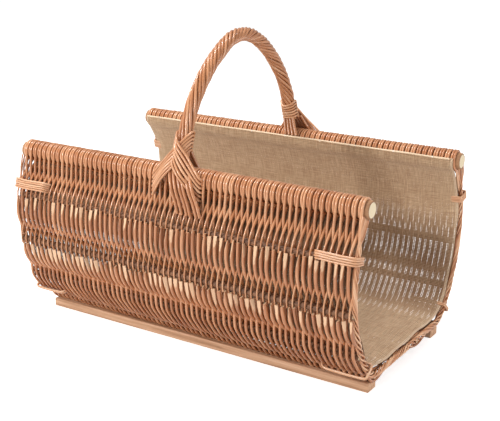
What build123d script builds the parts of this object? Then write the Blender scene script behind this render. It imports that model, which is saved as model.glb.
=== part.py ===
"""Open-ended wicker log basket: two rails, ten ribs, a woven skin, a roped handle, a liner and two skids.

Frame: millimetres, +X along the rails, +Z up, origin on the ground under the middle of the basket.
The near side is -Y and the far side is +Y.  The two sides are mirror images.
"""
from build123d import *
from math import acos, asin, atan2, cos, degrees, hypot, radians, sin, sqrt
import os

# Driving dimensions, in millimetres ---------------------------------------------------------

RAIL_LENGTH = 600.0         # the two top rails, end to end
RAIL_DIAMETER = 25.0
RAIL_CHAMFER = 1.0
RAIL_SPACING = 310.0        # between the rail centres
RAIL_HEIGHT = 274.0         # rail centres above the ground
RAIL_END = 6.0              # bare rail beyond each end of the weave

SIDE_RADIUS = 198.0         # the long curve of each side, at the middle of the skin
BILGE_RADIUS = 42.0         # the tight bend between side and floor
FLOOR_FLAT = 203.2          # flat of the floor between the two bends

RIB_COUNT = 10
BILGE_RIB_REACH = 107.5     # from the middle of the floor, along the skin, to the ribs over the skids
RIB_DIAMETER = 10.0
ROD_DIAMETER = 4.4          # willow weaving rods
CROSSING_THICKNESS = 4.8    # skin halfway between two ribs, where the rods lie side by side

SKID_END_SETBACK = 4.0      # skid ends inside the ends of the weave
SKID_WIDTH = 24.0
SKID_DEPTH = 13.5
SKID_SEAT = 12.0            # height of the lowest weaving rods
SKID_OUTSET = 2.6           # skid centre outside its rib
SKID_ROUNDING = 2.0
SKID_END_CHAMFER = 1.0

NAIL_DIAMETER = 2.0
NAIL_HEAD_DIAMETER = 5.0
NAIL_HEAD_DEPTH = 1.0
NAIL_RECESS = 0.5           # heads punched below the skid's underside
NAIL_GRIP = 8.0             # nail inside the weave and the rib
NAIL_END_MARGIN = 50.0      # outermost nails from the ends of the skid
NAILS_PER_SKID = 5

HANDLE_RISE = 196.0         # top of the handle above the rail centres
HANDLE_CORE_DIAMETER = 12.0
HANDLE_ROPE_DIAMETER = 21.0
HANDLE_CROWN_RADIUS = 90.0
HANDLE_LEAN = 6.0           # degrees off vertical where a leg meets its rail
FOOT_SINK = 11.0            # foot of the arch above the rail centre
NECK_HEIGHT = 33.0          # lower end of the roping above the rail centre

BINDING_DIAMETER = 3.9      # thin willow of the neck turns and the crossed bands
NECK_TURNS = 5
BAND_RODS = 6
OUTER_LEG_DIAMETER = 5.4
OUTER_LEGS = 6
INNER_LEG_DIAMETER = 5.0
INNER_LEGS = 4
LEG_BEND_RADIUS = 18.0
BAND_SLOPE = 0.3            # outward lean of a band for each millimetre down
BAND_REACH_HEIGHT = 8.0     # where a band passes its furthest leg, above the rail centre
LEG_TOP_GAP = 2.5           # tops of the legs below the roping
LEG_GAP = 0.6               # legs beside the handle core and the wrapped rail
OUTER_LEG_BEND_HEIGHT = 7.0     # where the outer legs turn down, above the rail centre
INNER_LEG_END_HEIGHT = 8.5      # lower ends of the inner legs, above the rail centre
OUTER_LEG_TUCK = 0.63           # where the outer legs enter the weave, in rib pitches from the rail

STRAP_DIAMETER = 2.9        # thin willow of the end straps and ties
RIGHT_STRAP_DROP = 67.6     # straps below the rail centre, along the skin
LEFT_STRAP_DROP = 54.1
RIGHT_TIE_RISE = 7.6        # ties above the bilge bend, along the skin
LEFT_TIE_RISE = 19.7

LINER_SETBACK = 5.0         # liner's edges inside the ends of the weave
LINER_THICKNESS = 1.2
LINER_GAP = 3.3             # room for the straps behind the liner
LINER_LAP_RISE = 6.0        # upper edge of the liner above the rail centre
STRIP_DIAMETER = 3.0
STRIP_SETBACK = 9.0         # strip ends inside the edges of the liner
TACK_DIAMETER = 1.2
TACK_HEAD_DIAMETER = 2.6
TACK_HEAD_DEPTH = 0.6
TACK_GRIP = 8.0             # tack inside the rail and its wrapping
TACK_END_MARGIN = 20.0      # outermost tacks from the ends of the strip
TACKS_PER_STRIP = 9

CLEARANCE = 0.2

# Dimensions that follow ---------------------------------------------------------------------

WEAVE_LENGTH = RAIL_LENGTH - 2 * RAIL_END
SKID_LENGTH = WEAVE_LENGTH - 2 * SKID_END_SETBACK
LINER_LENGTH = WEAVE_LENGTH - 2 * LINER_SETBACK
STRIP_LENGTH = LINER_LENGTH - 2 * STRIP_SETBACK
NAIL_REACH = SKID_LENGTH / 2 - NAIL_END_MARGIN
TACK_REACH = STRIP_LENGTH / 2 - TACK_END_MARGIN

RAIL_Y = RAIL_SPACING / 2
WRAP_RADIUS = RAIL_DIAMETER / 2 + ROD_DIAMETER
SKIN_HALF = RIB_DIAMETER / 2 + ROD_DIAMETER
FLOOR_Z = SKID_SEAT + SKIN_HALF

BILGE_Y = FLOOR_FLAT / 2
BILGE_Z = FLOOR_Z + BILGE_RADIUS
# The side curve passes through the rail centre and is tangent to the bilge bend: its centre is where a
# circle round the rail centre meets a circle round the bend's centre.
SPAN_Y = BILGE_Y - RAIL_Y
SPAN_Z = BILGE_Z - RAIL_HEIGHT
SPAN = hypot(SPAN_Y, SPAN_Z)
SPAN_ALONG = (SIDE_RADIUS**2 - (SIDE_RADIUS - BILGE_RADIUS) ** 2 + SPAN**2) / (2 * SPAN)
SPAN_ACROSS = sqrt(SIDE_RADIUS**2 - SPAN_ALONG**2)
SIDE_Y = RAIL_Y + (SPAN_Y * SPAN_ALONG + SPAN_Z * SPAN_ACROSS) / SPAN
SIDE_Z = RAIL_HEIGHT + (SPAN_Z * SPAN_ALONG - SPAN_Y * SPAN_ACROSS) / SPAN
TOP_ANGLE = atan2(RAIL_HEIGHT - SIDE_Z, RAIL_Y - SIDE_Y)
LOW_ANGLE = atan2(BILGE_Z - SIDE_Z, BILGE_Y - SIDE_Y)

BILGE_ARC = BILGE_RADIUS * (LOW_ANGLE + radians(90))
SIDE_ARC = SIDE_RADIUS * (TOP_ANGLE - LOW_ANGLE)
SKIN_HALF_GIRTH = BILGE_Y + BILGE_ARC + SIDE_ARC
BILGE_RIB = 4
SIDE_PITCH = (SKIN_HALF_GIRTH - BILGE_RIB_REACH) / BILGE_RIB
FLOOR_PITCH = 2 * BILGE_RIB_REACH / (RIB_COUNT + 1 - 2 * BILGE_RIB)
STRAP_CORNER_RADIUS = 0.69 * STRAP_DIAMETER     # tight enough to clear the skin's square edge

LINER_OUTER = -(SKIN_HALF + LINER_GAP)
LINER_INNER = LINER_OUTER - LINER_THICKNESS
LAP_RADIUS = WRAP_RADIUS + CLEARANCE
LAP_MIDDLE = LAP_RADIUS + LINER_THICKNESS / 2
LAP_TOP_ANGLE = 180 - degrees(asin(LINER_LAP_RISE / LAP_MIDDLE))
LINER_RADIUS = SIDE_RADIUS + (LINER_OUTER + LINER_INNER) / 2
# Where the sheet on the side curve meets the lap: two circles whose centres are SIDE_RADIUS apart.
MEET_REACH = (SIDE_RADIUS**2 + LINER_RADIUS**2 - LAP_MIDDLE**2) / (2 * SIDE_RADIUS)
MEET_OFFSET = sqrt(LINER_RADIUS**2 - MEET_REACH**2)
LAP_LOW_ANGLE = 180 + degrees(TOP_ANGLE) + degrees(atan2(MEET_OFFSET, SIDE_RADIUS - MEET_REACH))

STRIP_REACH = LAP_RADIUS + LINER_THICKNESS + STRIP_DIAMETER / 2 + CLEARANCE
STRIP_ANGLE = radians(LAP_TOP_ANGLE) + STRIP_DIAMETER / (2 * STRIP_REACH)


def skin_angle(girth):
    """Direction of the skin's outward normal at a distance along the skin from the near rail."""
    reach = abs(girth - SKIN_HALF_GIRTH)
    if reach <= BILGE_Y:
        return radians(-90)
    if reach <= BILGE_Y + BILGE_ARC:
        return radians(-90) + (reach - BILGE_Y) / BILGE_RADIUS
    return LOW_ANGLE + (reach - BILGE_Y - BILGE_ARC) / SIDE_RADIUS


def skin_point(girth, offset=0.0):
    """(y, z) of a point on the skin, moved outwards by offset from the middle of its thickness."""
    reach = abs(girth - SKIN_HALF_GIRTH)
    angle = skin_angle(girth)
    if reach <= BILGE_Y:
        y, z = reach, FLOOR_Z
    elif reach <= BILGE_Y + BILGE_ARC:
        y, z = BILGE_Y + BILGE_RADIUS * cos(angle), BILGE_Z + BILGE_RADIUS * sin(angle)
    else:
        y, z = SIDE_Y + SIDE_RADIUS * cos(angle), SIDE_Z + SIDE_RADIUS * sin(angle)
    side = -1 if girth < SKIN_HALF_GIRTH else 1
    return side * (y + offset * cos(angle)), z + offset * sin(angle)


def rib_girth(number):
    """Distance of a rib along the skin from the near rail; the far rail counts as the last rib."""
    if number <= BILGE_RIB:
        return number * SIDE_PITCH
    if number <= RIB_COUNT + 1 - BILGE_RIB:
        return BILGE_RIB * SIDE_PITCH + (number - BILGE_RIB) * FLOOR_PITCH
    return 2 * SKIN_HALF_GIRTH - (RIB_COUNT + 1 - number) * SIDE_PITCH


def rib_point(number):
    """(y, z) of a rib's centre."""
    return skin_point(rib_girth(number))


def save(piece, name):
    """Label a finished piece and write its STEP file."""
    piece.part.label = name
    export_step(piece.part, f"parts/{name}.step")


def save_mirrored(piece, name):
    """Write the far side's copy of a piece made for the near side."""
    with BuildPart() as copy:
        mirror(piece.part, about=Plane.XZ)
    save(copy, name)


def rod(points, diameter, bend_radius=0.0):
    """One willow rod along a route of straight runs, with its bends rounded where a radius is given."""
    with BuildPart() as piece:
        with BuildLine() as route:
            if bend_radius:
                FilletPolyline(*points, radius=bend_radius)
            else:
                Line(*points)
        with BuildSketch(Plane(origin=route.line @ 0, z_dir=route.line % 0)):
            Circle(diameter / 2)
        sweep()
    return piece.part


def spread(first, last, count, number):
    """Value number of a row of count evenly spaced values."""
    return first + (last - first) * number / (count - 1)


os.makedirs("parts", exist_ok=True)

# Liner tacks, made first because they pierce the rail, its wrapping, the liner and its strip ------


def tack_axis_point(number, distance):
    """Point on a tack of the near rail, at a distance from the rail's centre line."""
    x = spread(-TACK_REACH, TACK_REACH, TACKS_PER_STRIP, number)
    return (x, -RAIL_Y - distance * cos(STRIP_ANGLE), RAIL_HEIGHT + distance * sin(STRIP_ANGLE))


def tack(number):
    """A fine nail whose head is flush with the crown of the liner strip."""
    crown = STRIP_REACH + STRIP_DIAMETER / 2
    tip = tack_axis_point(number, WRAP_RADIUS - TACK_GRIP)
    neck = tack_axis_point(number, crown - TACK_HEAD_DEPTH)
    return [
        rod([tip, neck], TACK_DIAMETER),
        rod([neck, tack_axis_point(number, crown)], TACK_HEAD_DIAMETER),
    ]


tack_pieces = [piece for number in range(TACKS_PER_STRIP) for piece in tack(number)]
with BuildPart() as near_liner_tacks:
    add(tack_pieces)
save(near_liner_tacks, "near_liner_tacks")
save_mirrored(near_liner_tacks, "far_liner_tacks")

# Rails and the willow wound round them ------------------------------------------------------

with BuildPart() as near_rail:
    with BuildSketch(Plane.YZ.offset(-RAIL_LENGTH / 2)):
        with Locations((-RAIL_Y, RAIL_HEIGHT)):
            Circle(RAIL_DIAMETER / 2)
    extrude(amount=RAIL_LENGTH)
    chamfer(near_rail.edges().filter_by(GeomType.CIRCLE), length=RAIL_CHAMFER)
    add(near_liner_tacks.part, mode=Mode.SUBTRACT)
save(near_rail, "near_rail")
save_mirrored(near_rail, "far_rail")

with BuildPart() as near_rail_wrapping:
    with BuildSketch(Plane.YZ.offset(-WEAVE_LENGTH / 2)):
        with Locations((-RAIL_Y, RAIL_HEIGHT)):
            Circle(WRAP_RADIUS)
            Circle(RAIL_DIAMETER / 2, mode=Mode.SUBTRACT)
    extrude(amount=WEAVE_LENGTH)
    add(near_liner_tacks.part, mode=Mode.SUBTRACT)
save(near_rail_wrapping, "near_rail_wrapping")
save_mirrored(near_rail_wrapping, "far_rail_wrapping")

# Skid nails, made first because the skids, the weave and two ribs are pierced by them ---------

BILGE_RIB_Y, BILGE_RIB_Z = rib_point(BILGE_RIB)
NAIL_POSITIONS = [
    (spread(-NAIL_REACH, NAIL_REACH, NAILS_PER_SKID, number), side * BILGE_RIB_Y)
    for side in (-1, 1)
    for number in range(NAILS_PER_SKID)
]
NAIL_TIP_Z = SKID_SEAT + NAIL_GRIP

with BuildPart() as skid_nails:
    with BuildSketch(Plane.XY.offset(NAIL_RECESS)):
        with Locations(*NAIL_POSITIONS):
            Circle(NAIL_HEAD_DIAMETER / 2)
    extrude(amount=NAIL_HEAD_DEPTH)
    with BuildSketch(Plane.XY.offset(NAIL_RECESS)):
        with Locations(*NAIL_POSITIONS):
            Circle(NAIL_DIAMETER / 2)
    extrude(amount=NAIL_TIP_Z - NAIL_RECESS)
save(skid_nails, "skid_nails")

# Ribs ---------------------------------------------------------------------------------------

RIB_NAMES = [
    "near_top_rib",
    "near_belly_rib",
    "near_lower_rib",
    "near_bilge_rib",
    "near_floor_rib",
    "far_floor_rib",
    "far_bilge_rib",
    "far_lower_rib",
    "far_belly_rib",
    "far_top_rib",
]


def make_rib(number):
    """A straight willow stake along the whole skin, bored where the skid nails enter it."""
    with BuildPart() as rib:
        with BuildSketch(Plane.YZ.offset(-WEAVE_LENGTH / 2)):
            with Locations(rib_point(number)):
                Circle(RIB_DIAMETER / 2)
        extrude(amount=WEAVE_LENGTH)
        if number in (BILGE_RIB, RIB_COUNT + 1 - BILGE_RIB):
            add(skid_nails.part, mode=Mode.SUBTRACT)
    return rib


for index, rib_name in enumerate(RIB_NAMES):
    save(make_rib(index + 1), rib_name)

# Woven skin, thick over the ribs and thin at the crossings between them ----------------------


def lozenge(number):
    """Outline of the skin round one rib, from the crossing before it to the crossing after it."""
    middle = rib_girth(number)
    before = (rib_girth(number - 1) + middle) / 2
    after = (middle + rib_girth(number + 1)) / 2
    half = CROSSING_THICKNESS / 2
    return [
        skin_point(before, half),
        skin_point(middle, SKIN_HALF),
        skin_point(after, half),
        skin_point(after, -half),
        skin_point(middle, -SKIN_HALF),
        skin_point(before, -half),
    ]


def rail_wedge():
    """Outline of the skin between the near rail's wrapping and the first crossing."""
    crossing = SIDE_PITCH / 2
    half = CROSSING_THICKNESS / 2
    return [
        skin_point(0, RAIL_DIAMETER / 2),
        skin_point(crossing, half),
        skin_point(crossing, -half),
        skin_point(0, -RAIL_DIAMETER / 2),
    ]


def make_skin(rib_numbers, wedge):
    """One woven panel with a channel for each of its ribs."""
    with BuildPart() as panel:
        with BuildSketch(Plane.YZ.offset(-WEAVE_LENGTH / 2)):
            for number in rib_numbers:
                with BuildLine():
                    Polyline(*lozenge(number), close=True)
                make_face()
                with Locations(rib_point(number)):
                    Circle(SKIN_HALF)
            if wedge:
                with BuildLine():
                    Polyline(*rail_wedge(), close=True)
                make_face()
                with Locations((-RAIL_Y, RAIL_HEIGHT)):
                    Circle(WRAP_RADIUS, mode=Mode.SUBTRACT)
            with Locations(*[rib_point(number) for number in rib_numbers]):
                Circle(RIB_DIAMETER / 2, mode=Mode.SUBTRACT)
        extrude(amount=WEAVE_LENGTH)
    return panel


near_side_weave = make_skin(range(1, BILGE_RIB), wedge=True)
save(near_side_weave, "near_side_weave")
save_mirrored(near_side_weave, "far_side_weave")

with BuildPart() as floor_weave:
    add(make_skin(range(BILGE_RIB, RIB_COUNT + 2 - BILGE_RIB), wedge=False).part)
    add(skid_nails.part, mode=Mode.SUBTRACT)
save(floor_weave, "floor_weave")

# Skids, bedded a little against the lowest rods of the weave ----------------------------------

SKID_Y = abs(BILGE_RIB_Y) + SKID_OUTSET

with BuildPart() as near_skid:
    with BuildSketch(Plane.YZ.offset(-SKID_LENGTH / 2)) as skid_section:
        with Locations((-SKID_Y, SKID_DEPTH / 2)):
            RectangleRounded(SKID_WIDTH, SKID_DEPTH, SKID_ROUNDING)
    extrude(amount=SKID_LENGTH)
    chamfer(near_skid.faces().sort_by(Axis.X)[-1].edges(), length=SKID_END_CHAMFER)
    chamfer(near_skid.faces().sort_by(Axis.X)[0].edges(), length=SKID_END_CHAMFER)
    with BuildSketch(Plane.YZ.offset(-RAIL_LENGTH / 2)):
        with Locations((BILGE_RIB_Y, BILGE_RIB_Z)):
            Circle(SKIN_HALF)
    extrude(amount=RAIL_LENGTH, mode=Mode.SUBTRACT)
    with BuildSketch(Plane.XY):
        with Locations(*NAIL_POSITIONS):
            Circle(NAIL_HEAD_DIAMETER / 2)
    extrude(amount=NAIL_RECESS, mode=Mode.SUBTRACT)
    add(skid_nails.part, mode=Mode.SUBTRACT)
save(near_skid, "near_skid")
save_mirrored(near_skid, "far_skid")

# Handle: a bent core with willow roped round it -----------------------------------------------

ARCH_TOP = RAIL_HEIGHT + HANDLE_RISE - HANDLE_ROPE_DIAMETER / 2
FOOT_Z = RAIL_HEIGHT + FOOT_SINK
CROWN_Z = ARCH_TOP - HANDLE_CROWN_RADIUS
LEAN = radians(HANDLE_LEAN)
# The leg arc starts at the foot with the given lean and is tangent to the crown arc.
LEG_RADIUS = (RAIL_Y**2 + (CROWN_Z - FOOT_Z) ** 2 - HANDLE_CROWN_RADIUS**2) / (
    2 * (RAIL_Y * cos(LEAN) - (CROWN_Z - FOOT_Z) * sin(LEAN) - HANDLE_CROWN_RADIUS)
)
LEG_Y = RAIL_Y - LEG_RADIUS * cos(LEAN)
LEG_Z = FOOT_Z - LEG_RADIUS * sin(LEAN)
CROWN_ANGLE = degrees(atan2(CROWN_Z - LEG_Z, -LEG_Y))

with BuildLine(Plane.YZ) as arch:
    CenterArc((-LEG_Y, LEG_Z), LEG_RADIUS, 180 - HANDLE_LEAN, HANDLE_LEAN - CROWN_ANGLE)
    CenterArc((0, CROWN_Z), HANDLE_CROWN_RADIUS, 180 - CROWN_ANGLE, 2 * CROWN_ANGLE - 180)
    CenterArc((LEG_Y, LEG_Z), LEG_RADIUS, CROWN_ANGLE, HANDLE_LEAN - CROWN_ANGLE)

with BuildPart() as handle_core:
    with BuildSketch(Plane(origin=arch.line @ 0, x_dir=(1, 0, 0), z_dir=arch.line % 0)):
        Circle(HANDLE_CORE_DIAMETER / 2)
    sweep(path=arch.line)
    with BuildSketch(Plane.YZ.offset(-WEAVE_LENGTH / 2)):
        with Locations((-RAIL_Y, RAIL_HEIGHT), (RAIL_Y, RAIL_HEIGHT)):
            Circle(WRAP_RADIUS)
    extrude(amount=WEAVE_LENGTH, mode=Mode.SUBTRACT)
save(handle_core, "handle_core")

NECK_Z = RAIL_HEIGHT + NECK_HEIGHT

with BuildPart() as handle_roping:
    with BuildSketch(Plane(origin=arch.line @ 0, x_dir=(1, 0, 0), z_dir=arch.line % 0)):
        Circle(HANDLE_ROPE_DIAMETER / 2)
        Circle(HANDLE_CORE_DIAMETER / 2, mode=Mode.SUBTRACT)
    sweep(path=arch.line)
    split(bisect_by=Plane.XY.offset(NECK_Z), keep=Keep.TOP)
save(handle_roping, "handle_roping")

# Neck binding: turns of thin willow round the foot of the roping ------------------------------

NECK_ANGLE = asin((NECK_Z - LEG_Z) / LEG_RADIUS)
TURN_RADIUS = HANDLE_ROPE_DIAMETER / 2 + BINDING_DIAMETER / 2 + CLEARANCE
# The turns fan out round the bent leg, so their pitch is set where they come closest, on its inside.
TURN_PITCH = (BINDING_DIAMETER + CLEARANCE) / (1 - (TURN_RADIUS + BINDING_DIAMETER / 2) / LEG_RADIUS)

with BuildPart() as near_neck_binding:
    for number in range(NECK_TURNS):
        turn_angle = NECK_ANGLE + (number + 1) * TURN_PITCH / LEG_RADIUS
        turn_centre = (
            0,
            -LEG_Y - LEG_RADIUS * cos(turn_angle),
            LEG_Z + LEG_RADIUS * sin(turn_angle),
        )
        with Locations(Plane(origin=turn_centre, z_dir=(0, sin(turn_angle), cos(turn_angle)))):
            Torus(TURN_RADIUS, BINDING_DIAMETER / 2)
save(near_neck_binding, "near_neck_binding")
save_mirrored(near_neck_binding, "far_neck_binding")

# Legs: the ends of the handle rods, brought down both sides of the rail -----------------------

LEG_TOP_Z = NECK_Z - LEG_TOP_GAP
CORE_Y = LEG_Y + LEG_RADIUS * cos(asin((LEG_TOP_Z - LEG_Z) / LEG_RADIUS))
OUTER_LEG_TOP_Y = CORE_Y + HANDLE_CORE_DIAMETER / 2 + OUTER_LEG_DIAMETER / 2 + LEG_GAP
OUTER_LEG_RAIL_Y = RAIL_Y + WRAP_RADIUS + OUTER_LEG_DIAMETER / 2 + CLEARANCE
LEG_BEND_Z = RAIL_HEIGHT + OUTER_LEG_BEND_HEIGHT
TUCK_OFFSET = SKIN_HALF / 2 + OUTER_LEG_DIAMETER / 2 + CLEARANCE
TUCK_Y, TUCK_Z = skin_point(OUTER_LEG_TUCK * SIDE_PITCH, TUCK_OFFSET)
OUTER_LEG_TOP_X = (-14.0, 18.0)
OUTER_LEG_TUCK_X = (12.0, 52.0)


def outer_leg(number):
    """One rod from the neck over the outside of the near rail to where it is tucked into the weave."""
    top_x = spread(*OUTER_LEG_TOP_X, OUTER_LEGS, number)
    tuck_x = spread(*OUTER_LEG_TUCK_X, OUTER_LEGS, number)
    bend_x = top_x + (tuck_x - top_x) * (LEG_TOP_Z - LEG_BEND_Z) / (LEG_TOP_Z - TUCK_Z)
    points = [
        (top_x, -OUTER_LEG_TOP_Y, LEG_TOP_Z),
        (bend_x, -OUTER_LEG_RAIL_Y, LEG_BEND_Z),
        (tuck_x, TUCK_Y, TUCK_Z),
    ]
    return rod(points, OUTER_LEG_DIAMETER, LEG_BEND_RADIUS)


outer_legs = [outer_leg(number) for number in range(OUTER_LEGS)]
with BuildPart() as near_outer_legs:
    add(outer_legs)
save(near_outer_legs, "near_outer_legs")
save_mirrored(near_outer_legs, "far_outer_legs")

INNER_LEG_TOP_Y = CORE_Y - HANDLE_CORE_DIAMETER / 2 - INNER_LEG_DIAMETER / 2 - LEG_GAP
# An inner leg runs past the wrapped rail as a tangent to a circle round the rail's centre.
INNER_LEG_CLEAR = WRAP_RADIUS + INNER_LEG_DIAMETER / 2 + LEG_GAP
INNER_LEG_IN = RAIL_Y - INNER_LEG_TOP_Y
INNER_LEG_UP = LEG_TOP_Z - RAIL_HEIGHT
TOUCH_ANGLE = atan2(INNER_LEG_UP, INNER_LEG_IN) - acos(INNER_LEG_CLEAR / hypot(INNER_LEG_IN, INNER_LEG_UP))
INNER_LEG_OUT = (INNER_LEG_CLEAR - INNER_LEG_END_HEIGHT * sin(TOUCH_ANGLE)) / cos(TOUCH_ANGLE)
INNER_LEG_END_Y = RAIL_Y - INNER_LEG_OUT
INNER_LEG_END_Z = RAIL_HEIGHT + INNER_LEG_END_HEIGHT
INNER_LEG_TOP_X = (-6.0, 10.0)
INNER_LEG_END_X = (-0.1, 19.6)


def inner_leg(number):
    """One rod from the neck down the inside of the near rail, ending at the liner's edge."""
    top_x = spread(*INNER_LEG_TOP_X, INNER_LEGS, number)
    end_x = spread(*INNER_LEG_END_X, INNER_LEGS, number)
    points = [(top_x, -INNER_LEG_TOP_Y, LEG_TOP_Z), (end_x, -INNER_LEG_END_Y, INNER_LEG_END_Z)]
    return rod(points, INNER_LEG_DIAMETER)


inner_legs = [inner_leg(number) for number in range(INNER_LEGS)]
with BuildPart() as near_inner_legs:
    add(inner_legs)
save(near_inner_legs, "near_inner_legs")
save_mirrored(near_inner_legs, "far_inner_legs")

# Crossed bands of thin willow over the legs, from the neck to under the rail -------------------

BAND_Y = max(
    CORE_Y + TURN_RADIUS + BINDING_DIAMETER + CLEARANCE,
    OUTER_LEG_RAIL_Y + OUTER_LEG_DIAMETER / 2 + BINDING_DIAMETER / 2 + CLEARANCE,
)
BAND_LAYER = BINDING_DIAMETER + 2 * CLEARANCE
# Corners of the bands, as x and the height above the rail centre: each edge from its top to its bottom.
UNDER_UPPER_EDGE = ((26.0, 70.0), (22.0, 36.0))
UNDER_LOWER_EDGE = ((-38.0, 8.0), (-41.0, -25.0))
OVER_UPPER_EDGE = ((2.0, 65.0), (-12.0, 34.0))
OVER_LOWER_EDGE = ((54.0, 8.0), (51.0, -23.0))


def band_rod(upper, lower, layer):
    """One straight rod of a band; upper and lower give x and the height above the rail centre."""
    points = []
    for x, height in (upper, lower):
        y = BAND_Y - BAND_SLOPE * (height - BAND_REACH_HEIGHT) + layer * BAND_LAYER
        points.append((x, -y, RAIL_HEIGHT + height))
    return rod(points, BINDING_DIAMETER)


def band(upper_corners, lower_corners, layer):
    """A row of rods between two slanting edges, each edge given by its top and bottom corner."""
    rods = []
    for number in range(BAND_RODS):
        ends = []
        for top, bottom in (upper_corners, lower_corners):
            x = spread(top[0], bottom[0], BAND_RODS, number)
            height = spread(top[1], bottom[1], BAND_RODS, number)
            ends.append((x, height))
        rods.append(band_rod(ends[0], ends[1], layer))
    return rods


under_rods = band(UNDER_UPPER_EDGE, UNDER_LOWER_EDGE, layer=0)
with BuildPart() as near_band_under:
    add(under_rods)
save(near_band_under, "near_band_under")
save_mirrored(near_band_under, "far_band_under")

over_rods = band(OVER_UPPER_EDGE, OVER_LOWER_EDGE, layer=1)
with BuildPart() as near_band_over:
    add(over_rods)
save(near_band_over, "near_band_over")
save_mirrored(near_band_over, "far_band_over")

# End straps and low ties: thin willow lapped round the end edges of the skin -------------------


def edge_lap(girth, shift, lap_length, end):
    """One thin rod along the outside of the near side, round its end edge and back along the inside.

    girth is the distance of the row's middle along the skin, shift the rod's place in the row.
    """
    angle = skin_angle(girth)
    normal = Vector(0, -cos(angle), sin(angle))
    along = Vector(0, sin(angle), cos(angle))
    centre = Vector(0, *skin_point(girth)) + along * shift
    reach = SKIN_HALF + STRAP_DIAMETER / 2 + CLEARANCE
    edge_x = WEAVE_LENGTH / 2 + STRAP_DIAMETER / 2 + CLEARANCE
    start_x = WEAVE_LENGTH / 2 - lap_length
    points = [
        centre + normal * reach + Vector(end * start_x, 0, 0),
        centre + normal * reach + Vector(end * edge_x, 0, 0),
        centre - normal * reach + Vector(end * edge_x, 0, 0),
        centre - normal * reach + Vector(end * start_x, 0, 0),
    ]
    return rod(points, STRAP_DIAMETER, STRAP_CORNER_RADIUS)


def make_strap(girth, rods, lap_length, end):
    """Several laps side by side."""
    pitch = STRAP_DIAMETER + CLEARANCE
    laps = [edge_lap(girth, (number - (rods - 1) / 2) * pitch, lap_length, end) for number in range(rods)]
    with BuildPart() as strap:
        add(laps)
    return strap


# Each lap: its name, distance along the skin, number of rods, reach in from the end and end.
LAPS = [
    ("right_strap", RIGHT_STRAP_DROP, 4, 56.0, 1),
    ("left_strap", LEFT_STRAP_DROP, 5, 57.0, -1),
    ("right_tie", SIDE_ARC - RIGHT_TIE_RISE, 1, 65.0, 1),
    ("left_tie", SIDE_ARC - LEFT_TIE_RISE, 1, 54.0, -1),
]

for lap_name, lap_girth, lap_rods, lap_length, lap_end in LAPS:
    lap = make_strap(lap_girth, lap_rods, lap_length, lap_end)
    save(lap, f"near_{lap_name}")
    save_mirrored(lap, f"far_{lap_name}")

# Liner: one sheet from rail to rail, lapped up the inner face of each wrapped rail --------------

def liner_curve(offset):
    """The whole U of the skin at one offset, from the near rail to the far rail."""
    side = SIDE_RADIUS + offset
    bilge = BILGE_RADIUS + offset
    top = degrees(TOP_ANGLE)
    low = degrees(LOW_ANGLE)
    CenterArc((-SIDE_Y, SIDE_Z), side, 180 - top, top - low)
    CenterArc((-BILGE_Y, BILGE_Z), bilge, 180 - low, 90 + low)
    Line((-BILGE_Y, BILGE_Z - bilge), (BILGE_Y, BILGE_Z - bilge))
    CenterArc((BILGE_Y, BILGE_Z), bilge, -90, 90 + low)
    CenterArc((SIDE_Y, SIDE_Z), side, low, top - low)


def lap_outline(side):
    """The part of the sheet that bends round the inner face of one wrapped rail."""
    start = LAP_TOP_ANGLE if side > 0 else 180 - LAP_TOP_ANGLE
    turn = side * (LAP_LOW_ANGLE - LAP_TOP_ANGLE)
    outer = CenterArc((side * RAIL_Y, RAIL_HEIGHT), LAP_RADIUS, start, turn)
    inner = CenterArc((side * RAIL_Y, RAIL_HEIGHT), LAP_RADIUS + LINER_THICKNESS, start, turn)
    Line(outer @ 0, inner @ 0)
    Line(outer @ 1, inner @ 1)


def curve_end(side, offset):
    """(y, z) of the liner curve's end at one rail."""
    reach = SIDE_RADIUS + offset
    return side * (SIDE_Y + reach * cos(TOP_ANGLE)), SIDE_Z + reach * sin(TOP_ANGLE)


with BuildPart() as liner:
    with BuildSketch(Plane.YZ.offset(-LINER_LENGTH / 2)):
        with BuildLine():
            liner_curve(LINER_OUTER)
            liner_curve(LINER_INNER)
            Line(curve_end(-1, LINER_OUTER), curve_end(-1, LINER_INNER))
            Line(curve_end(1, LINER_OUTER), curve_end(1, LINER_INNER))
        make_face()
        with Locations((-RAIL_Y, RAIL_HEIGHT), (RAIL_Y, RAIL_HEIGHT)):
            Circle(LAP_MIDDLE, mode=Mode.SUBTRACT)
        with BuildLine():
            lap_outline(-1)
        make_face()
        with BuildLine():
            lap_outline(1)
        make_face()
    extrude(amount=LINER_LENGTH)
    add(near_liner_tacks.part, mode=Mode.SUBTRACT)
    add(mirror(near_liner_tacks.part, about=Plane.XZ, mode=Mode.PRIVATE), mode=Mode.SUBTRACT)
save(liner, "liner")

# Liner strips: a thin split rod tacked over each edge of the sheet ------------------------------

with BuildPart() as near_liner_strip:
    with BuildSketch(Plane.YZ.offset(-STRIP_LENGTH / 2)):
        strip_y, strip_z = tack_axis_point(0, STRIP_REACH)[1:]
        with Locations((strip_y, strip_z)):
            Circle(STRIP_DIAMETER / 2)
    extrude(amount=STRIP_LENGTH)
    add(near_liner_tacks.part, mode=Mode.SUBTRACT)
save(near_liner_strip, "near_liner_strip")
save_mirrored(near_liner_strip, "far_liner_strip")
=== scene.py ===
# %% [markdown]
# # An open-ended wicker log basket
# This lesson builds a willow log basket around its CAD frame: the weave, the wound rails, the roped handle,
# the crossed bands, the straps, the hessian liner, the skids, and then the light and the camera.
# Everything is in metres.  +X runs along the rails, -Y is the near side and +Z is up.

# %% Load the frame
import math
import bpy
import numpy as np
from mathutils import Matrix, Vector


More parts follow.
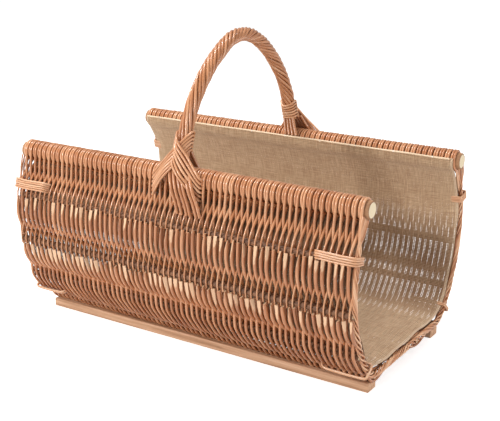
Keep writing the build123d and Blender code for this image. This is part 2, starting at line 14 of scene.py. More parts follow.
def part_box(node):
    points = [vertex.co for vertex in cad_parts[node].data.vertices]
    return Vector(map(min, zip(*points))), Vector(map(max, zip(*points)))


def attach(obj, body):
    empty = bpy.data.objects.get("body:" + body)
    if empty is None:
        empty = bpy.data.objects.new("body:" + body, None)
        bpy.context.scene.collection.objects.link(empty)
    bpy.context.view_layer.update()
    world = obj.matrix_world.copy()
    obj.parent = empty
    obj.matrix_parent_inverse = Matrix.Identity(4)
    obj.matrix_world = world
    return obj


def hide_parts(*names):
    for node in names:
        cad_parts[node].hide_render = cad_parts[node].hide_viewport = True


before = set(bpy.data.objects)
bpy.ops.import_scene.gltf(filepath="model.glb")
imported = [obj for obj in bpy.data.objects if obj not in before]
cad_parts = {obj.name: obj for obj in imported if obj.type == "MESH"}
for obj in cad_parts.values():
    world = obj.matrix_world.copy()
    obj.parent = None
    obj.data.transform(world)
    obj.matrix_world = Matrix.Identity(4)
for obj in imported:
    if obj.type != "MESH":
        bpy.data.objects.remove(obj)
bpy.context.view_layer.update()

scene = bpy.context.scene
chance = np.random.default_rng(11)
MM = 0.001

# %% [markdown]
# ## The camera
# The camera comes first, because every later choice is judged through it.  A camera looks along its own -Z,
# so its matrix is built from three directions: right, up and back.  A direction is easier to read as an
# azimuth round the basket, a height above the horizon and a small roll.

# %% Camera
CAMERA_AZIMUTH = math.radians(32.407)
CAMERA_HEIGHT_ANGLE = math.radians(16.895)
CAMERA_ROLL = math.radians(0.439)
CAMERA_PLACE = Vector((0.8205, -1.2647, 0.6421))
CAMERA_LENS = 72.13

back = Vector((
    math.sin(CAMERA_AZIMUTH) * math.cos(CAMERA_HEIGHT_ANGLE),
    -math.cos(CAMERA_AZIMUTH) * math.cos(CAMERA_HEIGHT_ANGLE),
    math.sin(CAMERA_HEIGHT_ANGLE),
))
level_right = (-back).cross(Vector((0, 0, 1))).normalized()
level_up = level_right.cross(-back)
right = level_right * math.cos(CAMERA_ROLL) + level_up * math.sin(CAMERA_ROLL)
up = level_up * math.cos(CAMERA_ROLL) - level_right * math.sin(CAMERA_ROLL)

camera_data = bpy.data.cameras.new("studio_camera")
camera_data.lens = CAMERA_LENS
camera_data.sensor_width = 36.0
camera = bpy.data.objects.new("studio_camera", camera_data)
camera.matrix_world = Matrix.Translation(CAMERA_PLACE) @ Matrix((right, up, back)).transposed().to_4x4()
scene.collection.objects.link(camera)
scene.camera = camera
print("camera stands", round(CAMERA_PLACE.length, 2), "m from the basket")

# %% [markdown]
# ## Measures taken from the frame
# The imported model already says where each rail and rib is.  Reading those boxes, instead of typing places
# again, keeps the looks on the structure.  Only the radii of the U are typed, because a box can't hold them.

# %% Measures
rail_low, rail_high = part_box("near_rail")
RAIL_RADIUS = (rail_high.z - rail_low.z) / 2
RAIL_Y = -(rail_low.y + rail_high.y) / 2
RAIL_Z = (rail_low.z + rail_high.z) / 2
RAIL_HALF = rail_high.x

weave_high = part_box("near_side_weave")[1]
WEAVE_HALF = weave_high.x

floor_rib_low, floor_rib_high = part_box("near_floor_rib")
RIB_RADIUS = (floor_rib_high.z - floor_rib_low.z) / 2
FLOOR_Z = (floor_rib_low.z + floor_rib_high.z) / 2

SIDE_RADIUS = 198 * MM
SIDE_BULGE = 30 * MM
BILGE_RADIUS = 42 * MM
RIB_COUNT = 10
ROD_RADIUS = 2.2 * MM
WRAP_RADIUS = RAIL_RADIUS + 2 * ROD_RADIUS

SIDE_Y = RAIL_Y + SIDE_BULGE - SIDE_RADIUS
SIDE_Z = RAIL_Z - math.sqrt(SIDE_RADIUS**2 - (RAIL_Y - SIDE_Y) ** 2)
TOP_ANGLE = math.atan2(RAIL_Z - SIDE_Z, RAIL_Y - SIDE_Y)
BILGE_Z = FLOOR_Z + BILGE_RADIUS
BILGE_Y = SIDE_Y + math.sqrt((SIDE_RADIUS - BILGE_RADIUS) ** 2 - (SIDE_Z - BILGE_Z) ** 2)
LOW_ANGLE = math.atan2(BILGE_Z - SIDE_Z, BILGE_Y - SIDE_Y)
BILGE_ARC = BILGE_RADIUS * (LOW_ANGLE + math.pi / 2)
SIDE_ARC = SIDE_RADIUS * (TOP_ANGLE - LOW_ANGLE)
HALF_GIRTH = BILGE_Y + BILGE_ARC + SIDE_ARC
PITCH = 2 * HALF_GIRTH / (RIB_COUNT + 1)
print("girth of the skin", round(2 * HALF_GIRTH, 3), "rib pitch", round(PITCH, 4))

# %% [markdown]
# ## Walking along the skin
# Every weaving rod follows the same U.  One function turns a distance along the U, and a height above its
# surface, into a place.  With it a rod is a simple wave, and the bends of the basket come for free.

# %% The skin


def skin(girth, offset=0.0):
    """y and z at a distance along the skin from the near rail, moved outwards by offset."""
    girth = np.asarray(girth, float)
    reach = np.abs(girth - HALF_GIRTH)
    side = np.where(girth < HALF_GIRTH, -1.0, 1.0)
    bilge = reach > BILGE_Y
    wall = reach > BILGE_Y + BILGE_ARC
    bilge_angle = (reach - BILGE_Y) / BILGE_RADIUS - math.pi / 2
    wall_angle = LOW_ANGLE + (reach - BILGE_Y - BILGE_ARC) / SIDE_RADIUS
    angle = np.where(wall, wall_angle, np.where(bilge, bilge_angle, -math.pi / 2))
    centre_y = np.where(wall, SIDE_Y, np.where(bilge, BILGE_Y, reach))
    centre_z = np.where(wall, SIDE_Z, BILGE_Z)
    radius = np.where(wall, SIDE_RADIUS, BILGE_RADIUS) + offset
    return side * (centre_y + radius * np.cos(angle)), centre_z + radius * np.sin(angle)


def path(x, girth, offset):
    """Points of a rod from its x, its distance along the skin and its height off the skin."""
    y, z = skin(girth, offset)
    return np.stack([np.broadcast_to(x, y.shape), y, z], axis=1)


print("rib one at", [float(np.round(v, 4)) for v in skin(PITCH)])

# %% [markdown]
# ## One tool for all the willow
# A rod is a tube with its own thickness from end to end, pale wood at its cut ends and bark between.  Curve
# objects can do tubes, but a mesh built from rings also lets us slice a butt at a slant and hand the material
# three facts at each point: how far along the rod it is, which rod it is, and whether it is cut wood.

# %% Rods to mesh


def mix(first, last, share):
    return first + (last - first) * share


def unit(vectors):
    return vectors / np.maximum(np.linalg.norm(vectors, axis=-1, keepdims=True), 1e-12)


def smooth_path(corners, step=3 * MM):
    """A smooth line through given corners (a Catmull-Rom spline), in even steps."""
    corners = np.asarray(corners, float)
    padded = np.vstack([2 * corners[0] - corners[1], corners, 2 * corners[-1] - corners[-2]])
    pieces = []
    for a, b, c, d in zip(padded[:-3], padded[1:-2], padded[2:-1], padded[3:]):
        t = np.linspace(0, 1, 24, endpoint=False)[:, None]
        pieces.append(0.5 * (2 * b + (c - a) * t + (2 * a - 5 * b + 4 * c - d) * t**2
                             + (3 * b - a - 3 * c + d) * t**3))
    line = np.vstack(pieces + [corners[-1:]])
    walked = np.concatenate([[0], np.cumsum(np.linalg.norm(np.diff(line, axis=0), axis=1))])
    even = np.linspace(0, walked[-1], max(int(walked[-1] / step), 3) + 1)
    return np.stack([np.interp(even, walked, line[:, k]) for k in range(3)], axis=1)


class Strands:
    """Collects tubes and turns them into one mesh."""

    def __init__(self):
        self.points, self.faces = [], []
        self.tone, self.cut, self.rod = [], [], []
        self.count = 0
        self.number = 0

    def _keep(self, points, tone, cut, rod):
        self.points.append(points)
        self.tone.append(np.broadcast_to(tone, len(points)))
        self.cut.append(np.broadcast_to(cut, len(points)))
        self.rod.append(rod)
        self.count += len(points)

    def tube(self, line, radius, across, tone=0.5, sides=8, slice_way=None, slice_length=0.0, mirror=False):
        """Adds one rod.  across is a direction that never runs along it."""
        line = np.asarray(line, float)
        if mirror:
            line = line * (1, -1, 1)
            across = np.asarray(across, float) * (1, -1, 1)
            slice_way = None if slice_way is None else np.asarray(slice_way, float) * (1, -1, 1)
        count = len(line)
        radius = np.broadcast_to(radius, count)
        along = unit(np.gradient(line, axis=0))
        first = np.broadcast_to(np.asarray(across, float), line.shape)
        first = unit(first - (first * along).sum(1, keepdims=True) * along)
        second = np.cross(along, first)
        turn = np.arange(sides) * 2 * math.pi / sides
        ring = first[:, None] * np.cos(turn)[:, None] + second[:, None] * np.sin(turn)[:, None]
        shape = line[:, None] + radius[:, None, None] * ring
        walked = np.concatenate([[0], np.cumsum(np.linalg.norm(np.diff(line, axis=0), axis=1))])
        cut = np.zeros((count, sides))
        if slice_way is not None:
            way = unit(np.asarray(slice_way, float) - (along @ slice_way)[:, None] * along)
            depth = (ring * way[:, None]).sum(2) * radius[:, None]
            limit = radius * (-0.15 + 1.15 * walked / slice_length)
            over = np.maximum(depth - limit[:, None], 0) * (walked < slice_length)[:, None]
            shape = shape - over[:, :, None] * way[:, None]
            cut = (over > 0).astype(float)
        self.number += 1
        where = np.stack([
            np.repeat(walked, sides),
            np.tile(turn / (2 * math.pi), count),
            np.full(count * sides, float(self.number)),
        ], axis=1)
        start = self.count
        self._keep(shape.reshape(-1, 3), tone, cut.reshape(-1), where)
        here = start + np.arange(count - 1)[:, None] * sides + np.arange(sides)
        there = start + np.arange(count - 1)[:, None] * sides + (np.arange(sides) + 1) % sides
        quads = np.stack([here, there, there + sides, here + sides], axis=2).reshape(-1, 4)
        self.faces.extend(quads.tolist())
        for row, flip in ((0, True), (count - 1, False)):
            base = self.count
            rim = np.vstack([shape[row], shape[row].mean(0)])
            from_centre = np.append(np.ones(sides), 0.0)
            nothing = from_centre * 0
            self._keep(rim, tone, 1.0, np.stack([nothing, from_centre, nothing + self.number], axis=1))
            for k in range(sides):
                pair = (base + k, base + (k + 1) % sides)
                self.faces.append([*(reversed(pair) if flip else pair), base + sides])

    def build(self, name, material, nodes):
        """Makes the mesh object, gives it its material and ties it to the frame."""
        mesh = bpy.data.meshes.new(name)
        mesh.from_pydata(np.concatenate(self.points).tolist(), [], self.faces)
        mesh.shade_smooth()
        for title, values in (("tone", self.tone), ("cut", self.cut)):
            layer = mesh.attributes.new(title, "FLOAT", "POINT")
            layer.data.foreach_set("value", np.concatenate(values).astype(np.float32))
        layer = mesh.attributes.new("rod", "FLOAT_VECTOR", "POINT")
        layer.data.foreach_set("vector", np.concatenate(self.rod).astype(np.float32).ravel())
        place(name, mesh, material, nodes)


def place(name, mesh, material, nodes):
    """Puts a finished mesh in the scene in place of its CAD nodes."""
    piece = bpy.data.objects.new(name, mesh)
    scene.collection.objects.link(piece)
    mesh.materials.append(material)
    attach(piece, "root")
    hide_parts(*nodes)
    print(name, len(mesh.polygons), "faces")
    return piece


# %% [markdown]
# ## Node helpers
# Materials are graphs.  A tiny helper that makes a node, sets its inputs and links what it is given keeps
# each material readable as a list of steps.

# %% Node helpers


def node(tree, kind, settings=None, **inputs):
    """Adds a node.  Inputs are named by socket, with _ for a space, or numbered i0, i1 and so on."""
    made = tree.nodes.new(kind)
    for key, value in (settings or {}).items():
        setattr(made, key, value)
    for key, value in inputs.items():
        numbered = key[0] == "i" and key[1:].isdigit()
        socket = made.inputs[int(key[1:]) if numbered else key.replace("_", " ")]
        if isinstance(value, bpy.types.NodeSocket):
            tree.links.new(value, socket)
        else:
            socket.default_value = value
    return made


def maths(tree, operation, first, second=0.0, third=0.0, clamp=False):
    return node(tree, "ShaderNodeMath", {"operation": operation, "use_clamp": clamp},
                i0=first, i1=second, i2=third).outputs[0]


def noise(tree, where, scale=1.0, detail=2.0, roughness=0.5):
    """Cloudy values around a half."""
    return node(tree, "ShaderNodeTexNoise",
                Vector=where, Scale=scale, Detail=detail, Roughness=roughness).outputs[0]


def attribute(tree, title, output):
    """A value that the mesh carries at each point."""
    return node(tree, "ShaderNodeAttribute", {"attribute_name": title}).outputs[output]


def stretch(tree, where, factors):
    """The same place with each axis multiplied, so that a pattern runs along one of them."""
    return node(tree, "ShaderNodeVectorMath", {"operation": "MULTIPLY"}, i0=where, i1=factors).outputs[0]


def fade(tree, value, start, stop, first, last):
    """Goes from first to last while the value goes from start to stop, and stays level outside."""
    return node(tree, "ShaderNodeMapRange", i0=value, i1=start, i2=stop, i3=first, i4=last).outputs[0]


def raise_relief(tree, shader, height, strength, distance):
    """Fine relief that only the light sees."""
    relief = node(tree, "ShaderNodeBump", Strength=strength, Distance=distance, Height=height)
    tree.links.new(relief.outputs[0], shader.inputs["Normal"])


def blend_colours(tree, amount, first, second, kind="MIX"):
    made = tree.nodes.new("ShaderNodeMix")
    made.data_type = "RGBA"
    made.blend_type = kind
    for socket, value in ((made.inputs[0], amount), (made.inputs[6], first), (made.inputs[7], second)):
        if isinstance(value, bpy.types.NodeSocket):
            tree.links.new(value, socket)
        else:
            socket.default_value = value
    return made.outputs[2]


def ramp(tree, value, stops):
    """A colour ramp from a list of (place, colour)."""
    made = tree.nodes.new("ShaderNodeValToRGB")
    tree.links.new(value, made.inputs[0])
    bar = made.color_ramp
    while len(bar.elements) < len(stops):
        bar.elements.new(0.5)
    for element, (spot, colour) in zip(bar.elements, stops):
        element.position = spot
        element.color = (*colour, 1.0)
    return made.outputs[0]


def start_material(name):
    material = bpy.data.materials.new(name)
    material.use_nodes = True
    tree = material.node_tree
    return material, tree, tree.nodes["Principled BSDF"]


def start_group(name, inputs, outputs):
    """A shader node group with its named sockets."""
    group = bpy.data.node_groups.new(name, "ShaderNodeTree")
    for title, kind, default in inputs:
        socket = group.interface.new_socket(title, in_out="INPUT", socket_type=kind)
        socket.default_value = default
    for title, kind in outputs:
        group.interface.new_socket(title, in_out="OUTPUT", socket_type=kind)
    return group, group.nodes.new("NodeGroupInput").outputs, group.nodes.new("NodeGroupOutput").inputs


# %% [markdown]
# ## Bark streaks, a shared effect
# Peeled and buffed willow has fine streaks along each rod and cloudy patches round it.  Both follow the rod,
# not the room, so the pattern is read from the rod's own measures.  Several materials need it, so it is a
# node group, built once.

# %% Bark streaks group
streaks, streak_in, streak_out = start_group(
    "Bark streaks",
    [("Patch length", "NodeSocketFloat", 40.0), ("Streak count", "NodeSocketFloat", 9.0)],
    [("Patches", "NodeSocketFloat"), ("Streaks", "NodeSocketFloat"), ("Cut", "NodeSocketFloat"),
     ("Tone", "NodeSocketFloat")],
)
rod_split = node(streaks, "ShaderNodeSeparateXYZ", i0=attribute(streaks, "rod", "Vector")).outputs
ring_angle = maths(streaks, "MULTIPLY", rod_split[1], 2 * math.pi)
ring_x = maths(streaks, "COSINE", ring_angle)
ring_y = maths(streaks, "SINE", ring_angle)
seed_far = maths(streaks, "MULTIPLY", rod_split[2], 7.31)
patch_place = node(
    streaks, "ShaderNodeCombineXYZ",
    X=maths(streaks, "MULTIPLY", rod_split[0], streak_in["Patch length"]),
    Y=maths(streaks, "ADD", ring_x, seed_far),
    Z=ring_y,
).outputs[0]
patches = noise(streaks, patch_place, detail=3.0, roughness=0.6)
streak_place = node(
    streaks, "ShaderNodeCombineXYZ",
    X=maths(streaks, "MULTIPLY", rod_split[0], 60.0),
    Y=maths(streaks, "ADD", maths(streaks, "MULTIPLY", ring_x, streak_in["Streak count"]), seed_far),
    Z=maths(streaks, "MULTIPLY", ring_y, streak_in["Streak count"]),
).outputs[0]
streaks.links.new(patches, streak_out["Patches"])
streaks.links.new(noise(streaks, streak_place), streak_out["Streaks"])
streaks.links.new(attribute(streaks, "cut", "Fac"), streak_out["Cut"])
streaks.links.new(attribute(streaks, "tone", "Fac"), streak_out["Tone"])
print("bark streaks group has", len(streaks.nodes), "nodes")

# %% [markdown]
# ## Willow
# One recipe makes each willow finish: a tone for the whole rod, patches along it, fine dark streaks, cream
# wood where it is cut, and a waxy gloss.  The recipe is a function, and each finish is a call with its own
# colours, from the darkest bark to the palest.

# %% Willow finishes
CREAM = (0.84, 0.56, 0.35, 1.0)
CREAM_STREAK = (0.62, 0.35, 0.19, 1.0)
COAT_ROUGHNESS = 0.16


def willow(name, colours, roughness, gloss, patch_length=40.0, bump=0.25):
    material, tree, shader = start_material(name)
    facts = tree.nodes.new("ShaderNodeGroup")
    facts.node_tree = streaks
    facts.inputs["Patch length"].default_value = patch_length
    shade = maths(tree, "MULTIPLY_ADD", facts.outputs["Patches"], 0.9, -0.45)
    tone = maths(tree, "ADD", facts.outputs["Tone"], shade, clamp=True)
    bark = ramp(tree, tone, list(zip((0.0, 0.35, 0.65, 1.0), colours)))
    lines = maths(tree, "MULTIPLY_ADD", facts.outputs["Streaks"], 1.1, 0.42, clamp=True)
    grey = node(tree, "ShaderNodeCombineColor", Red=lines, Green=lines, Blue=lines).outputs[0]
    bark = blend_colours(tree, 0.55, bark, grey, "MULTIPLY")
    cream = blend_colours(tree, facts.outputs["Streaks"], CREAM, CREAM_STREAK)
    tree.links.new(blend_colours(tree, facts.outputs["Cut"], bark, cream), shader.inputs["Base Color"])
    rough = maths(tree, "MULTIPLY_ADD", facts.outputs["Patches"], 0.25, roughness - 0.12)
    rough = maths(tree, "MULTIPLY_ADD", facts.outputs["Cut"], 0.3, rough, clamp=True)
    tree.links.new(rough, shader.inputs["Roughness"])
    shader.inputs["Coat Weight"].default_value = gloss
    shader.inputs["Coat Roughness"].default_value = COAT_ROUGHNESS
    raise_relief(tree, shader, facts.outputs["Streaks"], bump, 0.4 * MM)
    print(name, "has", len(tree.nodes), "nodes")
    return material


WEAVE_COLOURS = [(0.22, 0.07, 0.022), (0.47, 0.175, 0.065), (0.63, 0.29, 0.135), (0.80, 0.48, 0.28)]
THIN_COLOURS = [(0.34, 0.12, 0.045), (0.53, 0.23, 0.10), (0.65, 0.33, 0.17), (0.80, 0.50, 0.31)]
HANDLE_COLOURS = [(0.27, 0.09, 0.032), (0.46, 0.18, 0.07), (0.58, 0.26, 0.12), (0.74, 0.43, 0.25)]
STRIP_COLOURS = [(0.60, 0.38, 0.22), (0.74, 0.52, 0.33), (0.82, 0.62, 0.42), (0.90, 0.74, 0.55)]
willow_weave = willow("buff_willow", WEAVE_COLOURS, roughness=0.36, gloss=0.5)
willow_thin = willow("thin_willow", THIN_COLOURS, roughness=0.36, gloss=0.3)
willow_handle = willow("handle_willow", HANDLE_COLOURS, roughness=0.32, gloss=0.4)
pale_strip = willow("pale_strip", STRIP_COLOURS, roughness=0.55, gloss=0.05)

# %% [markdown]
# ## How a weaving rod runs
# A rod goes outside one rib and inside the next.  Neighbouring rods do the opposite, so each crossing lies
# halfway between two ribs.  Off the ribs this is a cosine wave.  Next to a rail the rod has to leave a much
# thicker pole, so that stretch is a short curve that leaves the rail's circle and lands on the first rib.

# %% Weaving wave
ROD_COUNT = 126
ROD_PITCH = (2 * WEAVE_HALF - 2 * ROD_RADIUS) / (ROD_COUNT - 1)
WIND_RADIUS = RAIL_RADIUS + ROD_RADIUS
LEAVE_ANGLE = math.radians(25)
LEAVING_PULL = 84 * MM
LANDING_PULL = 40 * MM
TIGHTENING = 0.24
TIGHT_RIBS = 4.6


def leaving_curve():
    """Distance along the skin and height off it, from the rail's circle to the first rib."""
    t = np.linspace(0, 1, 60)
    start = np.array([WIND_RADIUS * math.sin(LEAVE_ANGLE), WIND_RADIUS * math.cos(LEAVE_ANGLE)])
    start_way = LEAVING_PULL * np.array([math.cos(LEAVE_ANGLE), -math.sin(LEAVE_ANGLE)])
    end = np.array([PITCH, -(RIB_RADIUS + ROD_RADIUS)])
    end_way = LANDING_PULL * np.array([1.0, 0.0])
    weights = np.stack([
        2 * t**3 - 3 * t**2 + 1,
        t**3 - 2 * t**2 + t,
        -2 * t**3 + 3 * t**2,
        t**3 - t**2,
    ], axis=1)
    return weights @ np.stack([start, start_way, end, end_way])


LEAVING = leaving_curve()
LEAVE_GIRTH = LEAVING[0, 0]


def lift(girth, radius, kind):
    """Height of a rod off the skin.  kind is +1 for a rod that hangs outside its own rail, -1 for inside."""
    ribs = girth / PITCH
    sag = TIGHTENING * np.clip(TIGHT_RIBS - ribs, 0, 1)
    turn = math.pi * (ribs - sag * (1 - np.cos(2 * math.pi * ribs)) / 2)
    wave = (np.cos(turn) + 0.07 * np.cos(3 * turn)) / 1.07
    height = kind * (RIB_RADIUS + radius) * wave
    return np.where(girth < PITCH, kind * np.interp(girth, LEAVING[:, 0], LEAVING[:, 1]), height)


def wander(girth, size):
    """A slow sideways drift, different for each rod."""
    total = np.zeros_like(girth)
    for waves in (1.3, 2.9, 5.1):
        turn = girth * waves * 2 * math.pi / 0.4
        total += np.sin(turn + chance.uniform(0, 6.28)) * chance.uniform(0.2, 1.0)
    return total * size / 1.8


def rod_x(number):
    return -WEAVE_HALF + ROD_RADIUS + number * ROD_PITCH


print("rods", ROD_COUNT, "every", round(ROD_PITCH / MM, 2), "mm")

# %% [markdown]
# ## The upper rods, wound round the rails
# Each upper rod comes up inside the rail, goes once and a half round it and hangs down outside.  That makes
# two turns on the rail for every rod that hangs, which is why the rail looks finely wound and the wall below
# it open.  The far side is the same work mirrored.

# %% Upper rods


def wind(x_start, x_end):
    """The turns round the near rail, from the inside of the basket to the outside."""
    first = math.pi - LEAVE_ANGLE
    last = 4 * math.pi + LEAVE_ANGLE
    angle = np.linspace(first, last, 40)
    x = x_start + (x_end - x_start) * (angle - first) / (last - first)
    outward = np.array([0, -math.cos(TOP_ANGLE), math.sin(TOP_ANGLE)])
    downward = np.array([0, -math.sin(TOP_ANGLE), -math.cos(TOP_ANGLE)])
    centre = np.array([0, -RAIL_Y, RAIL_Z])
    reach = WIND_RADIUS + chance.normal(0, 0.12 * MM)
    line = centre + reach * (np.cos(angle)[:, None] * outward + np.sin(angle)[:, None] * downward)
    line[:, 0] += x
    return line


def upper_rods(name, mirror, nodes):
    strands = Strands()
    for pair in range(ROD_COUNT // 2):
        inner_number, outer_number = (2 * pair, 2 * pair + 1) if not mirror else (2 * pair + 1, 2 * pair)
        way = 1 if outer_number > inner_number else -1
        inner_x, outer_x = rod_x(inner_number), rod_x(outer_number)
        drift = (3 * math.pi + 2 * LEAVE_ANGLE) / (2 * math.pi) * ROD_PITCH
        extra = (drift - ROD_PITCH) / 2
        inner_girth = np.arange(PITCH + 5 * MM, LEAVE_GIRTH, -4.5 * MM)
        outer_girth = np.arange(LEAVE_GIRTH + 4 * MM, 2 * PITCH + 8 * MM, 4.5 * MM)
        toward = np.clip(1 - inner_girth / (PITCH / 2), 0, 1) ** 2
        inner_radius = MM * np.interp(inner_girth / PITCH, [0, 0.6, 0.85, 1], [2.25, 2.1, 1.5, 1.1])
        tip_shift = 2.2 * MM * np.clip(inner_girth / PITCH - 0.6, 0, 1) / 0.4
        inner_place = inner_x - way * extra * toward + wander(inner_girth, 0.25 * MM) - tip_shift
        inner_line = path(inner_place, inner_girth, lift(inner_girth, inner_radius, -1))
        away = np.clip(1 - outer_girth / (PITCH / 2), 0, 1) ** 2
        outer_radius = MM * np.interp(outer_girth / PITCH, [0, 1, 1.65, 2], [2.05, 2.1, 1.6, 1.15])
        outer_radius *= chance.uniform(0.92, 1.06)
        sway = wander(outer_girth, 0.5 * MM) - 2.4 * MM * np.clip(outer_girth / PITCH - 1.5, 0, 0.5) / 0.5
        outer_place = outer_x + way * extra * away + sway
        outer_line = path(outer_place, outer_girth, lift(outer_girth, outer_radius, 1))
        turns = wind(inner_line[-1, 0], outer_line[0, 0])[1:]
        line = np.vstack([inner_line, turns, outer_line])
        turn_radius = np.full(len(turns), chance.uniform(1.95, 2.1) * MM)
        radius = np.concatenate([inner_radius, turn_radius, outer_radius])
        strands.tube(line, radius, (1, 0, 0), tone=chance.uniform(0.42, 0.72), mirror=mirror)
    strands.build(name, willow_weave, nodes)


upper_rods("near_upper_rods", False, ["near_rail_wrapping"])
upper_rods("far_upper_rods", True, ["far_rail_wrapping"])

# %% [markdown]
# ## The lower rods and their butts
# New rods start on the wall.  Half of them start at the first rib and half at the second, where the thin tips
# of the upper rods end.  A basket maker slices each thick butt at a slant, so a row of pale cuts shows.  The
# rods then run down and across the floor, and their tips end beside the rods that come from the other side.

# %% Lower rods
EDGE_RODS = 6


def butt_lift(girth, radius, kind, start_rib):
    """A stiff butt stands straight over its first rib before the rod starts to bend."""
    height = lift(girth, radius, kind)
    stand = RIB_RADIUS + radius + 0.4 * MM
    return np.where(girth < start_rib * PITCH, stand, height)


def edge_rods(strands, end, mirror):
    """Thin rods that leave the rail's end side by side, draw together and finish the edge like a cord."""
    girth = np.arange(12 * MM, HALF_GIRTH + 4 * MM, 3 * MM)
    drawn_in = np.interp(girth, [0.012, 0.030, 0.060, 0.075], [1, 0.8, 0.12, 0])
    for number in range(EDGE_RODS):
        phase = 2 * math.pi * number / EDGE_RODS
        twist = girth * 95 * end + phase + 0.5 * np.sin(girth * 60 + phase)
        fan = (number - (EDGE_RODS - 1) / 2) * 4.6 * MM
        height = mix(-3.0 * MM + 4.2 * MM * np.cos(twist), fan, drawn_in)
        out = mix((-1.6 + 2.7 * np.sin(twist)) * MM, (-1.6 + 0.4 * number) * MM, drawn_in)
        line = path(end * (WEAVE_HALF + 0.6 * MM + out), girth, height)
        strands.tube(line, chance.uniform(1.05, 1.45) * MM, (1, 0, 0), tone=chance.uniform(0.3, 0.95),
                     sides=7, mirror=mirror)


def lower_rods(name, mirror, nodes):
    strands = Strands()
    for number in range(ROD_COUNT):
        hangs_inside = (number % 2 == 0) != mirror
        kind = -1 if hangs_inside else 1
        first_rib = 1 if hangs_inside else 2
        last_rib = 7 if hangs_inside else 6
        sliced = chance.random() < (0.72 if hangs_inside else 0.95)
        butt = chance.uniform(2.5, 2.9) if hangs_inside else chance.uniform(2.8, 3.3)
        butt = butt if sliced else 2.3
        past_rib = chance.normal(1.5, 1.6) if hangs_inside else chance.normal(5.0, 1.3)
        start = first_rib * PITCH + past_rib * MM
        end = last_rib * PITCH + chance.uniform(-6, 10) * MM
        close_steps = np.arange(start, start + 32 * MM, 3.2 * MM)
        girth = np.concatenate([close_steps, np.arange(start + 34 * MM, end, 6 * MM)])
        reach = girth - start
        radius = np.interp(reach, [0, 0.03, 0.07, 0.18, 0.27, end - start],
                           [butt, butt * 0.96, 2.35, 2.2, 1.75, 0.95]) * MM * chance.uniform(0.95, 1.05)
        height = butt_lift(girth, radius, kind, first_rib) if sliced else lift(girth, radius, kind)
        share = np.clip((girth / PITCH - 3.6) / 1.5, 0, 1)
        x = rod_x(number) + wander(girth, 0.45 * MM) - (1 if not mirror else -1) * 0.24 * ROD_PITCH * share
        line = path(x, girth, height)
        slant = chance.uniform(13, 26) * MM
        turned_away = chance.random() < (0.6 if hangs_inside else 0.3)
        turned = chance.uniform(0.9, 2.2) if turned_away else chance.normal(-0.1, 0.4)
        face = (-math.sin(turned), -math.cos(turned), 0.15)
        strands.tube(line, radius, (1, 0, 0), tone=chance.uniform(0.25, 0.62), sides=10, mirror=mirror,
                     slice_way=face if sliced else None, slice_length=slant)
    for end in (-1, 1):
        edge_rods(strands, end, mirror)
    strands.build(name, willow_weave, nodes)


lower_rods("near_lower_rods", False, ["near_side_weave", "floor_weave"])
lower_rods("far_lower_rods", True, ["far_side_weave"])

# %% [markdown]
# ## Rails and ribs
# The rails are round poles with sawn ends, and the ribs are thick rods in brown bark.  Most of each is
# hidden, but their cut ends show at both ends of the basket, so each gets a slightly crooked shape, a worn
# edge and end grain.

# %% Rails and ribs


def sawn_wood(name, bark, wood, ring_width):
    """Bark on the outside and pale end grain with a dark bark ring on the sawn faces."""
    material, tree, shader = start_material(name)
    facts = tree.nodes.new("ShaderNodeGroup")
    facts.node_tree = streaks
    facts.inputs["Patch length"].default_value = 60.0
    from_centre = node(tree, "ShaderNodeSeparateXYZ", i0=attribute(tree, "rod", "Vector")).outputs[1]
    place_noise = noise(tree, node(tree, "ShaderNodeTexCoord").outputs["Object"], scale=220.0, detail=3.0)
    uneven = maths(tree, "MULTIPLY", place_noise, 9.0)
    rings = maths(tree, "SINE", maths(tree, "MULTIPLY_ADD", from_centre, 42.0, uneven))
    dark_ring = (wood[0] * 0.72, wood[1] * 0.62, wood[2] * 0.5, 1.0)
    grain = blend_colours(tree, maths(tree, "MULTIPLY_ADD", rings, 0.22, 0.3), wood, dark_ring)
    edge = maths(tree, "GREATER_THAN", from_centre, 1.0 - ring_width)
    grain = blend_colours(tree, edge, grain, (*bark[0], 1.0))
    side = ramp(tree, facts.outputs["Patches"], [(0.3, bark[0]), (0.7, bark[1])])
    tree.links.new(blend_colours(tree, facts.outputs["Cut"], side, grain), shader.inputs["Base Color"])
    rough = maths(tree, "MULTIPLY_ADD", facts.outputs["Streaks"], 0.3, 0.5)
    tree.links.new(rough, shader.inputs["Roughness"])
    raise_relief(tree, shader, facts.outputs["Streaks"], 0.3, 0.5 * MM)
    return material


rail_wood = sawn_wood("rail_wood", [(0.20, 0.09, 0.04), (0.48, 0.25, 0.12)], (0.80, 0.68, 0.48, 1.0), 0.09)
rib_wood = sawn_wood("rib_wood", [(0.10, 0.04, 0.018), (0.26, 0.115, 0.05)], (0.80, 0.62, 0.40, 1.0), 0.16)


def pole(name, node_name, half_length, radius, worn, sides, material):
    """One slightly crooked pole along X, in the place of its CAD node."""
    low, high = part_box(node_name)
    centre_y, centre_z = (low.y + high.y) / 2, (low.z + high.z) / 2
    x = np.linspace(-half_length, half_length, 61)
    line = np.stack([x, centre_y + wander(x, 0.25 * MM), centre_z + wander(x, 0.25 * MM)], axis=1)
    girths = radius * (1 + 0.02 * np.sin(x * 47 + chance.uniform(0, 6)))
    line = np.vstack([line[:1], line[:1] + (worn, 0, 0), line[1:-1], line[-1:] - (worn, 0, 0), line[-1:]])
    girths = np.concatenate([[radius - worn], [radius], girths[1:-1], [radius], [radius - worn]])
    strands = Strands()
    strands.tube(line, girths, (0, 1, 0), tone=chance.uniform(0.3, 0.7), sides=sides)
    strands.build(name, material, [node_name])


